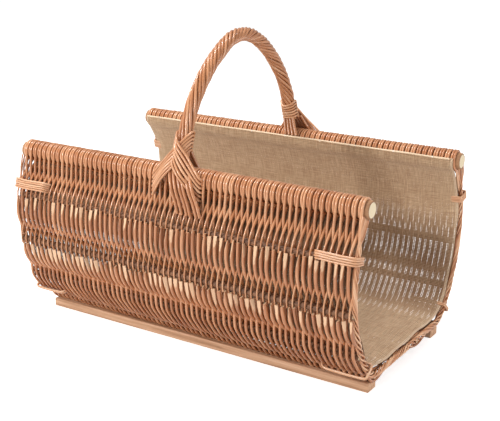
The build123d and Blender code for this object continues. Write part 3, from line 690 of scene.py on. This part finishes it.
for rail_node in ("near_rail", "far_rail"):
    pole(f"{rail_node}_pole", rail_node, RAIL_HALF, RAIL_RADIUS, 1.0 * MM, 32, rail_wood)
for rib_node in sorted(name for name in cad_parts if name.endswith("_rib")):
    reach = WEAVE_HALF + chance.uniform(-3.0, -0.5) * MM
    pole(f"{rib_node}_stake", rib_node, reach, RIB_RADIUS, 0.5 * MM, 16, rib_wood)

# %% [markdown]
# ## The handle
# Ten long rods are laid round a bent core and twisted as the maker works up one leg and down the other.  The
# twist is slack where it starts and tightens towards the crown.  Each rod is a helix round the arch, and its
# turning speed follows the slant that the rods should have there.

# %% Handle arch
ROPE_RADIUS = 10.5 * MM
CROWN_RADIUS = 90 * MM
FOOT_SINK = 11 * MM
LEAN = math.radians(6)
CROWN_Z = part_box("handle_roping")[1].z - ROPE_RADIUS - CROWN_RADIUS
NECK_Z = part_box("handle_roping")[0].z
FOOT_Z = RAIL_Z + FOOT_SINK
LEG_RADIUS = (RAIL_Y**2 + (CROWN_Z - FOOT_Z) ** 2 - CROWN_RADIUS**2) / (
    2 * (RAIL_Y * math.cos(LEAN) - (CROWN_Z - FOOT_Z) * math.sin(LEAN) - CROWN_RADIUS))
LEG_Y = RAIL_Y - LEG_RADIUS * math.cos(LEAN)
LEG_Z = FOOT_Z - LEG_RADIUS * math.sin(LEAN)
CROWN_ANGLE = math.atan2(CROWN_Z - LEG_Z, -LEG_Y)
LEG_LENGTH = LEG_RADIUS * (CROWN_ANGLE - LEAN)
ARCH_LENGTH = 2 * LEG_LENGTH + CROWN_RADIUS * (math.pi - 2 * CROWN_ANGLE)


def arch(walked):
    """Points on the handle's centre line and its outward direction, from the near foot to the far foot."""
    near = walked < LEG_LENGTH
    far = walked > ARCH_LENGTH - LEG_LENGTH
    near_turn = math.pi - LEAN - walked / LEG_RADIUS
    far_turn = LEAN + (ARCH_LENGTH - walked) / LEG_RADIUS
    crown_turn = math.pi - CROWN_ANGLE - (walked - LEG_LENGTH) / CROWN_RADIUS
    turn = np.where(near, near_turn, np.where(far, far_turn, crown_turn))
    radius = np.where(near | far, LEG_RADIUS, CROWN_RADIUS)
    centre_y = np.where(near, -LEG_Y, np.where(far, LEG_Y, 0.0))
    centre_z = np.where(near | far, LEG_Z, CROWN_Z)
    outward = np.stack([turn * 0, np.cos(turn), np.sin(turn)], axis=1)
    centre = np.stack([turn * 0, centre_y, centre_z], axis=1)
    return centre + radius[:, None] * outward, outward


def neck_y(z):
    """How far the handle's centre line is from the middle of the basket at a height on its legs."""
    return LEG_Y + math.sqrt(LEG_RADIUS**2 - (z - LEG_Z) ** 2)


NECK_WALK = LEG_RADIUS * (math.asin((NECK_Z - LEG_Z) / LEG_RADIUS) - LEAN)
print("arch length", round(ARCH_LENGTH, 3), "m, neck", round(NECK_WALK, 3), "m from the foot")

# %% [markdown]
# ## Twisting the handle's rods
# The lay is the slant of a rod against the arch.  Adding up the turns that the lay asks for, step by step,
# gives each rod's angle round the core.  A little wander in reach and thickness keeps the rods from looking
# cast.

# %% Handle rods
ROPE_RODS = 10
STRAND_RADIUS = 2.35 * MM
STRAND_REACH = ROPE_RADIUS - STRAND_RADIUS
LAY_PLACES = [0.06, 0.16, 0.28, 0.5, 0.7, 0.95]
LAY_DEGREES = [7, 12, 22, 29, 24, 20]
walked = np.arange(NECK_WALK - 3 * MM, ARCH_LENGTH - NECK_WALK + 3 * MM, 3.5 * MM)
slant = np.radians(np.interp(walked / ARCH_LENGTH, LAY_PLACES, LAY_DEGREES))
twist = -np.concatenate([[0], np.cumsum(np.tan(slant[:-1]) / STRAND_REACH * np.diff(walked))])
middle, outward = arch(walked)
handle = Strands()
for number in range(ROPE_RODS):
    start = 2 * math.pi * number / ROPE_RODS + chance.normal(0, 0.03)
    angle = start + twist + 0.05 * np.sin(walked * 31 + chance.uniform(0, 6))
    size = chance.uniform(0.94, 1.05)
    stand_off = chance.uniform(-0.3, 0.55) * MM
    reach = STRAND_REACH + stand_off + 0.25 * MM * np.sin(walked * 40 + chance.uniform(0, 6))
    line = middle + (reach * np.cos(angle))[:, None] * outward
    line[:, 0] += reach * np.sin(angle)
    handle.tube(line, STRAND_RADIUS * size * (1 + 0.03 * np.sin(walked * 55 + number)), (1, 0, 0),
                tone=chance.uniform(0.35, 0.75), sides=12)
handle.build("handle_rope_rods", willow_handle, ["handle_roping"])

# %% [markdown]
# ## The handle's legs
# Below the neck the ten rods part.  Six fan out over the outside of the rail and are tucked into the weave,
# and four go down inside it.  The fan hides the joint between rail and handle and spreads the load.

# %% Legs
OUTER_LEGS = 6
INNER_LEGS = 4
OUTER_LEG_RADIUS = 2.7 * MM
INNER_LEG_RADIUS = 2.5 * MM
SKIN_TUCK = 5.5 * MM
outer_low, outer_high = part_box("near_outer_legs")
inner_low, inner_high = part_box("near_inner_legs")


def make_legs(side_name, mirror):
    strands = Strands()
    over_rail = -(RAIL_Y + WRAP_RADIUS + OUTER_LEG_RADIUS + 0.4 * MM)
    for number in range(OUTER_LEGS):
        share = number / (OUTER_LEGS - 1)
        top_x = mix(-14, 18, share) * MM
        tuck_x = mix(12, 52, share) * MM + chance.normal(0, 0.6) * MM
        high_y, high_z = (float(value) for value in skin(0.30 * PITCH, 18 * MM))
        low_y, low_z = (float(value) for value in skin(0.52 * PITCH, 11 * MM))
        tuck_y, tuck_z = (float(value) for value in skin(0.74 * PITCH, SKIN_TUCK))
        corners = [
            (top_x * 0.75, outer_high.y - OUTER_LEG_RADIUS + 1 * MM, outer_high.z + 4 * MM),
            (mix(top_x, tuck_x, 0.12), mix(outer_high.y, outer_low.y, 0.30), mix(RAIL_Z, outer_high.z, 0.62)),
            (mix(top_x, tuck_x, 0.33), over_rail, RAIL_Z + 6 * MM),
            (mix(top_x, tuck_x, 0.60), high_y, high_z),
            (mix(top_x, tuck_x, 0.84), low_y, low_z),
            (tuck_x, tuck_y, tuck_z),
        ]
        line = smooth_path(corners)
        taper = np.linspace(1.0, 0.88, len(line))
        strands.tube(line, OUTER_LEG_RADIUS * taper, (1, 0, 0), tone=chance.uniform(0.35, 0.7),
                     sides=12, mirror=mirror)
    strands.build(f"{side_name}_fan_rods", willow_handle, [f"{side_name}_outer_legs"])
    strands = Strands()
    for number in range(INNER_LEGS):
        share = number / (INNER_LEGS - 1)
        corners = [
            (mix(-6.5, 9, share) * MM, inner_low.y + INNER_LEG_RADIUS - 0.5 * MM, inner_high.z + 3 * MM),
            (mix(-3.2, 14.5, share) * MM, (inner_low.y + inner_high.y) / 2, (inner_low.z + inner_high.z) / 2),
            (mix(-0.1, 19.6, share) * MM, inner_high.y - INNER_LEG_RADIUS, inner_low.z + 0.5 * MM),
        ]
        strands.tube(smooth_path(corners), INNER_LEG_RADIUS, (1, 0, 0), tone=chance.uniform(0.35, 0.7),
                     sides=12, mirror=mirror)
    strands.build(f"{side_name}_inside_rods", willow_handle, [f"{side_name}_inner_legs"])


make_legs("near", False)
make_legs("far", True)

# %% [markdown]
# ## Crossed bands
# Six thin rods tie the handle to the rail.  They come up from under the rail on one side, cross the front, go
# round the back of the neck and come down across themselves.  Each band rod is one smooth line through a few
# corners placed round the neck and the rail, so the crossing is real and not two flat ribbons.

# %% Bands
BAND_RODS = 6
BAND_RADIUS = 1.8 * MM
NECK_RING = ROPE_RADIUS + BAND_RADIUS + 0.2 * MM


def leg_face(z):
    """Outer face of the fan of legs and the wrapped rail, as a distance from the middle of the basket."""
    above_rail = [-25 * MM, -6 * MM, 8 * MM, 31 * MM, 60 * MM]
    return float(np.interp(z - RAIL_Z, above_rail, [0.1800, 0.1778, 0.1770, 0.1640, 0.1560]))


def band_corners(share):
    """Corners of one band rod; share runs from the top rod to the bottom one."""
    left_x, left_z = mix(-35, -38, share) * MM, RAIL_Z + mix(5, -27, share) * MM
    right_z = RAIL_Z + mix(64, 38, share) * MM
    back_z = RAIL_Z + mix(55, 35, share) * MM
    side_z = RAIL_Z + mix(63, 32, share) * MM
    low_x, low_z = mix(45, 42, share) * MM, RAIL_Z + mix(8, -23, share) * MM
    climb_z = mix(left_z, right_z, 0.42)
    front_z = mix(left_z, right_z, 0.76)
    front_y = -(max(leg_face(front_z), neck_y(front_z) + ROPE_RADIUS) + BAND_RADIUS)
    cross_z = mix(side_z, low_z, 0.22)
    fall_z = mix(side_z, low_z, 0.55)
    return [
        (left_x - 3 * MM, -(RAIL_Y + WRAP_RADIUS - 4 * MM), left_z - 3 * MM),
        (left_x + 1 * MM, -(RAIL_Y + WRAP_RADIUS + BAND_RADIUS + 0.5 * MM), left_z + 0.5 * MM),
        (mix(left_x, 0.012, 0.42), -(leg_face(climb_z) + BAND_RADIUS), climb_z),
        (mix(left_x, 0.012, 0.80), front_y, front_z),
        (NECK_RING, -neck_y(right_z) - 2 * MM, right_z),
        (NECK_RING * 0.72, -neck_y(back_z) + NECK_RING * 0.72, mix(right_z, back_z, 0.6)),
        (-NECK_RING * 0.30, -neck_y(back_z) + NECK_RING * 0.97, back_z),
        (-NECK_RING, -neck_y(side_z) + 1 * MM, mix(back_z, side_z, 0.85)),
        (-NECK_RING * 0.72, -(neck_y(side_z) + NECK_RING * 0.80), mix(side_z, low_z, 0.06)),
        (mix(-0.012, low_x, 0.22), -(leg_face(cross_z) + 3.1 * BAND_RADIUS), cross_z),
        (mix(-0.012, low_x, 0.55), -(leg_face(fall_z) + 2.0 * BAND_RADIUS), fall_z),
        (low_x - 1 * MM, -(RAIL_Y + WRAP_RADIUS + BAND_RADIUS + 0.8 * MM), low_z + 0.5 * MM),
        (low_x + 3 * MM, -(RAIL_Y + WRAP_RADIUS - 4 * MM), low_z - 3 * MM),
    ]


for side_name, mirror in (("near", False), ("far", True)):
    bands = Strands()
    for number in range(BAND_RODS):
        line = smooth_path(band_corners(number / (BAND_RODS - 1)), 2 * MM)
        neck = np.stack([line[:, 0] * 0, -np.array([neck_y(z) for z in line[:, 2]]), line[:, 2]], axis=1)
        bands.tube(line, BAND_RADIUS * chance.uniform(0.95, 1.03), unit(line - neck),
                   tone=chance.uniform(0.4, 0.75), sides=10, mirror=mirror)
    bands.build(f"{side_name}_crossed_bands", willow_thin,
                [f"{side_name}_band_under", f"{side_name}_band_over", f"{side_name}_neck_binding"])

# %% [markdown]
# ## Straps and ties
# Thin rods lapped round both end edges of each wall keep the last rods from slipping off the ribs.  They are
# drawn in the skin's own measures, along X, along the girth and off the skin, and bent into place with it.

# %% Straps and ties
STRAP_RADIUS = 1.45 * MM
STRAP_REACH = RIB_RADIUS + 2 * ROD_RADIUS + STRAP_RADIUS + 0.2 * MM


def lap(strands, girth, start_x, end, mirror):
    """One thin rod out of the weave, along the outside, round the end edge and back inside."""
    edge = WEAVE_HALF + STRAP_RADIUS + 2.4 * MM
    inside = STRAP_REACH + 0.6 * MM
    corners = np.array([
        (start_x - 5 * MM, girth + 1 * MM, 2 * MM),
        (start_x + 1 * MM, girth, STRAP_REACH - 1.5 * MM),
        (start_x + 10 * MM, girth, STRAP_REACH),
        (mix(start_x, edge, 0.6), girth + 0.5 * MM, STRAP_REACH + 0.3 * MM),
        (edge - 4 * MM, girth, STRAP_REACH),
        (edge - 0.5 * MM, girth, STRAP_REACH * 0.72),
        (edge, girth, 0.0),
        (edge - 0.5 * MM, girth, -inside * 0.72),
        (edge - 5 * MM, girth, -inside),
        (start_x + 10 * MM, girth, -inside),
    ])
    bent = smooth_path(corners, 2 * MM)
    line = path(end * bent[:, 0], bent[:, 1] + wander(bent[:, 0], 0.3 * MM), bent[:, 2])
    strands.tube(line, STRAP_RADIUS * chance.uniform(0.95, 1.05), (0, 0.2, 1), tone=chance.uniform(0.6, 0.9),
                 sides=8, mirror=mirror)


# name, distance along the skin from the rail, number of rods, end of the basket
LAPS = [
    ("right_strap", 67.6 * MM, 4, 1),
    ("left_strap", 54.1 * MM, 5, -1),
    ("right_tie", SIDE_ARC - 7.6 * MM, 2, 1),
    ("left_tie", SIDE_ARC - 19.7 * MM, 2, -1),
]
for side_name, mirror in (("near", False), ("far", True)):
    for lap_name, girth, rods, end in LAPS:
        low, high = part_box(f"{side_name}_{lap_name}")
        start_x = low.x if end > 0 else -high.x
        strands = Strands()
        for number in range(rods):
            shift = (number - (rods - 1) / 2) * 2 * STRAP_RADIUS * 1.03
            lap(strands, girth + shift, start_x + abs(chance.normal(0, 1.5)) * MM, end, mirror)
        strands.build(f"{side_name}_{lap_name}_rods", willow_thin, [f"{side_name}_{lap_name}"])

# %% [markdown]
# ## The liner
# The liner is one sheet of hessian, tacked along each rail and lying in the U.  Both edges are held all
# along, so it is shaped directly as a grid that follows the inside of the weave, with soft folds.  The grid
# keeps its flat measures, and the material uses them for its threads.

# %% Liner shape
LINER_OVERHANG = 3 * MM
SMOOTHING_ROUNDS = 30
LINER_OFFSET = -(RIB_RADIUS + 2 * ROD_RADIUS + 3.9 * MM)
LAP_RADIUS = WRAP_RADIUS + 0.8 * MM
liner_low, liner_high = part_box("liner")


def liner_section():
    """The sheet's line from the near rail to the far rail, in even steps."""
    top_turn = math.asin((RAIL_Z - liner_high.z) / LAP_RADIUS)
    turns = np.linspace(top_turn, math.radians(46), 8)
    lap_part = np.stack([-RAIL_Y + LAP_RADIUS * np.cos(turns), RAIL_Z - LAP_RADIUS * np.sin(turns)], axis=1)
    girth = np.linspace(22 * MM, HALF_GIRTH, 90)
    wall_part = np.stack(skin(girth, LINER_OFFSET), axis=1)
    half = np.vstack([lap_part, wall_part])
    line = np.vstack([half, half[-2::-1] * (-1, 1)])
    for _ in range(SMOOTHING_ROUNDS):
        line[1:-1] = (line[:-2] + 2 * line[1:-1] + line[2:]) / 4
    for rail_y in (-RAIL_Y, RAIL_Y):
        from_rail = line - (rail_y, RAIL_Z)
        away = np.linalg.norm(from_rail, axis=1, keepdims=True)
        line = (rail_y, RAIL_Z) + from_rail * np.maximum(1, (LAP_RADIUS + 0.4 * MM) / away)
    gone = np.concatenate([[0], np.cumsum(np.linalg.norm(np.diff(line, axis=0), axis=1))])
    even = np.linspace(0, gone[-1], int(gone[-1] / (4 * MM)) + 1)
    return np.stack([np.interp(even, gone, line[:, k]) for k in range(2)], axis=1), even


section, section_walk = liner_section()
section_along = unit(np.gradient(section, axis=0))
section_inward = np.stack([-section_along[:, 1], section_along[:, 0]], axis=1)
liner_x = np.linspace(liner_low.x - LINER_OVERHANG, liner_high.x + LINER_OVERHANG, 149)
print("liner girth", round(float(section_walk[-1]), 4), "m")

# %% [markdown]
# ## Folds in the liner
# Hessian is stiff and creases softly.  A few long swells, added as sine waves with random heights and slants,
# read as a hand-fitted cloth.  The swells push inwards, away from the weave, and the two free end edges are
# let down a little to lie on it.

# %% Liner mesh
FOLD_COUNT = 14
FOLD_HEIGHT = 4.2 * MM
EDGE_DROP = 5.2 * MM
along_x, along_girth = np.meshgrid(liner_x, section_walk)
swell = np.zeros_like(along_x)
for _ in range(FOLD_COUNT):
    heading = chance.uniform(-0.9, 0.9)
    wave_count = chance.uniform(9, 34)
    across_fold = along_x * math.cos(heading) + along_girth * math.sin(heading)
    wave = np.sin(across_fold * wave_count + chance.uniform(0, 6.28))
    swell += wave * chance.uniform(0.3, 1.0) / math.sqrt(wave_count)
swell = (swell - swell.min()) / (swell.max() - swell.min())
held = np.clip(np.minimum(along_girth, section_walk[-1] - along_girth) / (60 * MM), 0, 1)
swell = swell * held * FOLD_HEIGHT
from_edge = liner_x[-1] - np.abs(along_x)
edge_roll = np.clip(1 - from_edge / (14 * MM), 0, 1) ** 2 * held
edge_wave = 1.2 * MM * edge_roll * (1 + np.sin(along_girth * 90 + np.sign(along_x) * 1.7))
inward = swell + edge_wave - EDGE_DROP * np.clip(1 - from_edge / (16 * MM), 0, 1) * held
grid = np.stack([
    along_x + 0.8 * MM * np.sin(along_girth * 40) * edge_roll,
    section[:, None, 0] + section_inward[:, None, 0] * inward,
    section[:, None, 1] + section_inward[:, None, 1] * inward,
], axis=2)
rows, columns = along_x.shape
mesh = bpy.data.meshes.new("hessian_liner")
corner = np.arange((rows - 1) * columns).reshape(rows - 1, columns)[:, :-1].ravel()
quads = np.stack([corner, corner + 1, corner + columns + 1, corner + columns], axis=1)
mesh.from_pydata(grid.reshape(-1, 3).tolist(), [], quads.tolist())
mesh.shade_smooth()
layer = mesh.attributes.new("cloth", "FLOAT_VECTOR", "POINT")
cloth_place = np.stack([along_x, along_girth, along_x * 0], axis=2).astype(np.float32)
layer.data.foreach_set("vector", cloth_place.ravel())
print("liner grid", rows, "by", columns)

# %% [markdown]
# ## Hessian
# Hessian is a coarse open plain weave.  Two sets of threads are drawn from the sheet's flat measures: each is
# a rounded ridge, they pass over and under each other, and between them are small holes that light comes
# through.  Threads vary in thickness and colour, as jute does.  The cloth has painted shade low on the walls,
# in the valleys between its threads and on its outer side.  That shade is painted in to help the light, and
# another light may want less of it.

# %% Hessian finish
THREAD_PITCH = 2.3 * MM
hessian, cloth_tree, cloth_shader = start_material("hessian")
cloth_facts = attribute(cloth_tree, "cloth", "Vector")
jitter = node(cloth_tree, "ShaderNodeTexNoise", Vector=cloth_facts, Scale=160.0, Detail=2.0).outputs["Color"]
shifted = node(cloth_tree, "ShaderNodeVectorMath", {"operation": "MULTIPLY_ADD"},
               i0=jitter, i1=(1.2 * MM, 1.2 * MM, 0.0), i2=cloth_facts).outputs[0]
spot = node(cloth_tree, "ShaderNodeSeparateXYZ", i0=shifted).outputs
from_far_edge = maths(cloth_tree, "SUBTRACT", float(section_walk[-1]), spot[1])
from_rail = maths(cloth_tree, "MINIMUM", spot[1], from_far_edge)
warp_wave = maths(cloth_tree, "SINE", maths(cloth_tree, "MULTIPLY", spot[0], math.pi / THREAD_PITCH))
weft_wave = maths(cloth_tree, "SINE", maths(cloth_tree, "MULTIPLY", spot[1], math.pi / THREAD_PITCH))
warp = maths(cloth_tree, "ABSOLUTE", warp_wave)
weft = maths(cloth_tree, "ABSOLUTE", weft_wave)
over = maths(cloth_tree, "MULTIPLY", warp_wave, weft_wave)
warp_top = maths(cloth_tree, "MULTIPLY_ADD", over, 0.5, warp)
weft_top = maths(cloth_tree, "MULTIPLY_ADD", over, -0.5, weft)
relief = maths(cloth_tree, "MAXIMUM", warp_top, weft_top)


def thread_noise(scale):
    return noise(cloth_tree, stretch(cloth_tree, cloth_facts, scale))


slubs = maths(cloth_tree, "ADD", thread_noise((620.0, 34.0, 0.0)), thread_noise((34.0, 620.0, 0.0)))
slubs = maths(cloth_tree, "MULTIPLY_ADD", slubs, 1.5, -1.0, clamp=True)
# One blotch noise gives real stains in the jute and also breaks the painted shade below into patches.
stain_and_shade_noise = noise(cloth_tree, cloth_facts, scale=9.0, detail=3.0)
jute = blend_colours(cloth_tree, slubs, (0.42, 0.235, 0.12, 1.0), (0.80, 0.57, 0.36, 1.0))
worn = maths(cloth_tree, "MULTIPLY_ADD", stain_and_shade_noise, 2.6, -0.95, clamp=True)
# Painted shade: part way down each wall, between the rail and the floor, the cloth is darkened towards dark
# brown.
below_rail = fade(cloth_tree, from_rail, 0.10, 0.17, 0.0, 1.0)
above_floor = fade(cloth_tree, from_rail, 0.24, 0.30, 1.0, 0.0)
painted_wall_shade = maths(cloth_tree, "MULTIPLY", below_rail, above_floor)
painted_wall_shade = maths(cloth_tree, "MULTIPLY", painted_wall_shade, maths(cloth_tree, "MULTIPLY_ADD", worn, 0.55, 0.34))
jute = blend_colours(cloth_tree, maths(cloth_tree, "MULTIPLY", worn, 0.3), jute, (0.62, 0.43, 0.26, 1.0))
jute = blend_colours(cloth_tree, painted_wall_shade, jute, (0.17, 0.075, 0.03, 1.0))
from_middle = maths(cloth_tree, "ABSOLUTE", spot[0])
edge = maths(cloth_tree, "GREATER_THAN", from_middle, float(liner_x[-1]) - 3.5 * MM)
jute = blend_colours(cloth_tree, maths(cloth_tree, "MULTIPLY", edge, 0.6), jute, (0.86, 0.66, 0.46, 1.0))
# Painted shade: the valleys between the threads are darkened towards dark brown.
depth = maths(cloth_tree, "MULTIPLY_ADD", relief, 0.75, 0.1, clamp=True)
jute = blend_colours(cloth_tree, depth, (0.20, 0.11, 0.055, 1.0), jute)
# Painted shade: the outer side of the cloth, which faces the weave, gets a darker copy of its colour.
outer_side = node(cloth_tree, "ShaderNodeNewGeometry").outputs["Backfacing"]
shaded = blend_colours(cloth_tree, 0.72, jute, (0.14, 0.06, 0.025, 1.0))
jute = blend_colours(cloth_tree, outer_side, jute, shaded)
cloth_tree.links.new(jute, cloth_shader.inputs["Base Color"])
cloth_shader.inputs["Roughness"].default_value = 0.9
cloth_shader.inputs["Sheen Weight"].default_value = 0.15
looseness = maths(cloth_tree, "MULTIPLY_ADD", noise(cloth_tree, cloth_facts, scale=95.0), 0.65, 0.19)
hole_size = fade(cloth_tree, from_rail, 0.095, 0.125, 0.10, looseness)
thread = maths(cloth_tree, "GREATER_THAN", maths(cloth_tree, "MAXIMUM", warp, weft), hole_size)
cloth_tree.links.new(thread, cloth_shader.inputs["Alpha"])
raise_relief(cloth_tree, cloth_shader, relief, 0.8, 0.7 * MM)

liner = place("hessian_liner", mesh, hessian, ["liner"])

# %% [markdown]
# ## Strips
# A thin split rod is tacked over each top edge of the liner.  It is a tube that wavers a little, so that its
# highlight isn't a ruled line.

# %% Liner strips
STRIP_OVERHANG = 7 * MM
for side_name in ("near", "far"):
    low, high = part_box(f"{side_name}_liner_strip")
    x = np.linspace(low.x - STRIP_OVERHANG, high.x + STRIP_OVERHANG, 141)
    line_y = (low.y + high.y) / 2 + wander(x, 0.3 * MM)
    line_z = (low.z + high.z) / 2 + wander(x, 0.4 * MM)
    line = np.stack([x, line_y, line_z], axis=1)
    strip = Strands()
    strip.tube(line, (high.z - low.z) / 2 * (1 + 0.06 * np.sin(x * 70)), (0, 1, 0), tone=0.6, sides=10)
    strip.build(f"{side_name}_split_strip", pale_strip, [f"{side_name}_liner_strip"])

# %% [markdown]
# ## Skids and fastenings
# The skids are planed softwood.  Their CAD shape is right, rounded edges and all, so they only need a finish:
# long grain made from noise stretched along X, and a few knots.  The nails, the tacks and the bent core of
# the handle keep their CAD shape too.  A CAD mesh carries no rod measures, so the core's bark is read from its
# place.

# %% Skid wood and metal
skid_wood, wood_tree, wood_shader = start_material("planed_softwood")
wood_place = node(wood_tree, "ShaderNodeTexCoord").outputs["Object"]
grain_wave = noise(wood_tree, stretch(wood_tree, wood_place, (7.0, 150.0, 150.0)), detail=5.0, roughness=0.6)
knot_place = stretch(wood_tree, wood_place, (9.0, 26.0, 26.0))
knots = node(wood_tree, "ShaderNodeTexVoronoi", Vector=knot_place, Scale=1.0, Randomness=1.0).outputs[0]
knot = fade(wood_tree, knots, 0.06, 0.16, 1.0, 0.0)
TIMBER_STOPS = [(0.3, (0.36, 0.18, 0.09)), (0.5, (0.58, 0.33, 0.19)), (0.7, (0.74, 0.48, 0.31))]
timber = ramp(wood_tree, grain_wave, TIMBER_STOPS)
timber = blend_colours(wood_tree, knot, timber, (0.16, 0.07, 0.035, 1.0))
wood_tree.links.new(timber, wood_shader.inputs["Base Color"])
wood_tree.links.new(maths(wood_tree, "MULTIPLY_ADD", grain_wave, 0.4, 0.4), wood_shader.inputs["Roughness"])
raise_relief(wood_tree, wood_shader, grain_wave, 0.35, 0.5 * MM)

steel, steel_tree, steel_shader = start_material("dull_steel")
steel_place = node(steel_tree, "ShaderNodeTexCoord").outputs["Object"]
steel_noise = noise(steel_tree, steel_place, scale=900.0, detail=3.0)
dulled = ramp(steel_tree, steel_noise, [(0.3, (0.30, 0.25, 0.20)), (0.7, (0.62, 0.56, 0.48))])
steel_tree.links.new(dulled, steel_shader.inputs["Base Color"])
steel_rough = maths(steel_tree, "MULTIPLY_ADD", steel_noise, 0.4, 0.3)
steel_tree.links.new(steel_rough, steel_shader.inputs["Roughness"])
steel_shader.inputs["Metallic"].default_value = 0.9

core_bark, core_tree, core_shader = start_material("core_bark")
core_place = node(core_tree, "ShaderNodeTexCoord").outputs["Object"]
core_lines = noise(core_tree, stretch(core_tree, core_place, (520.0, 60.0, 60.0)), detail=3.0)
core_clouds = noise(core_tree, core_place, scale=45.0, detail=3.0)
core_mixed = maths(core_tree, "MULTIPLY_ADD", core_lines, 0.5, maths(core_tree, "MULTIPLY", core_clouds, 0.5))
BARK_STOPS = [(0.36, (0.13, 0.05, 0.02)), (0.5, (0.30, 0.13, 0.055)), (0.64, (0.46, 0.23, 0.11))]
core_tone = ramp(core_tree, core_mixed, BARK_STOPS)
core_tree.links.new(core_tone, core_shader.inputs["Base Color"])
core_tree.links.new(maths(core_tree, "MULTIPLY_ADD", core_clouds, 0.3, 0.4), core_shader.inputs["Roughness"])
raise_relief(core_tree, core_shader, core_lines, 0.35, 0.4 * MM)

for names, material in (
    (["near_skid", "far_skid"], skid_wood),
    (["skid_nails", "near_liner_tacks", "far_liner_tacks"], steel),
    (["handle_core"], core_bark),
):
    for name in names:
        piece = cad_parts[name]
        piece.data.materials.clear()
        piece.data.materials.append(material)
print("skids, nails, tacks and the handle core keep their CAD shape")

# %% [markdown]
# ## The floor
# The basket stands on a plain sheet of white paper, so that its soft shadow has somewhere to fall.  The paper
# also glows a little, but only where the camera sees it, so the white stays white and no light is added.

# %% Floor
floor_mesh = bpy.data.meshes.new("studio_floor")
FLOOR_HALF = 12.0
PAPER_GLOW = 0.62
floor_corners = [(x * FLOOR_HALF, y * FLOOR_HALF, 0) for x, y in ((-1, -1), (1, -1), (1, 1), (-1, 1))]
floor_mesh.from_pydata(floor_corners, [], [(0, 1, 2, 3)])
floor = bpy.data.objects.new("studio_floor", floor_mesh)
scene.collection.objects.link(floor)
paper, paper_tree, paper_shader = start_material("white_paper")
paper_shader.inputs["Base Color"].default_value = (0.93, 0.93, 0.93, 1.0)
paper_shader.inputs["Roughness"].default_value = 0.9
paper_shader.inputs["Emission Color"].default_value = (1.0, 1.0, 1.0, 1.0)
paper_seen = node(paper_tree, "ShaderNodeLightPath").outputs["Is Camera Ray"]
paper_glow = maths(paper_tree, "MULTIPLY", paper_seen, PAPER_GLOW)
paper_tree.links.new(paper_glow, paper_shader.inputs["Emission Strength"])
floor_mesh.materials.append(paper)
print("floor", 2 * FLOOR_HALF, "m across")

# %% [markdown]
# ## The light
# A pale even sky fills the shadows.  Of three lamps, one low in front draws the highlights along the wall,
# one up on the left lights the rails and the handle, and one on the right shines into the open end.

# %% Lights
SKY = 0.43
world = bpy.data.worlds.new("studio_sky")
world.use_nodes = True
world.node_tree.nodes["Background"].inputs["Color"].default_value = (1.0, 1.0, 1.0, 1.0)
seen = node(world.node_tree, "ShaderNodeLightPath").outputs["Is Camera Ray"]
glow = maths(world.node_tree, "MULTIPLY_ADD", seen, 1.0 - SKY, SKY)
world.node_tree.links.new(glow, world.node_tree.nodes["Background"].inputs["Strength"])
scene.world = world
scene.view_settings.view_transform = "Standard"


def lamp(name, place_at, aim, size, power):
    data = bpy.data.lights.new(name, "AREA")
    data.size = size
    data.energy = power
    made = bpy.data.objects.new(name, data)
    made.location = place_at
    made.rotation_euler = (Vector(aim) - Vector(place_at)).to_track_quat("-Z", "Y").to_euler()
    scene.collection.objects.link(made)


basket_middle = (0.0, 0.0, 0.2)
lamp("front_low", (-1.1, -2.3, 1.25), basket_middle, 0.42, 46)
lamp("top_left", (-0.7, -0.1, 2.2), basket_middle, 0.45, 32)
lamp("right_end", (2.4, 0.2, 0.9), (0.2, 0.1, 0.05), 0.8, 22)
print("lamps", [light.name for light in bpy.data.lights], "sky", SKY)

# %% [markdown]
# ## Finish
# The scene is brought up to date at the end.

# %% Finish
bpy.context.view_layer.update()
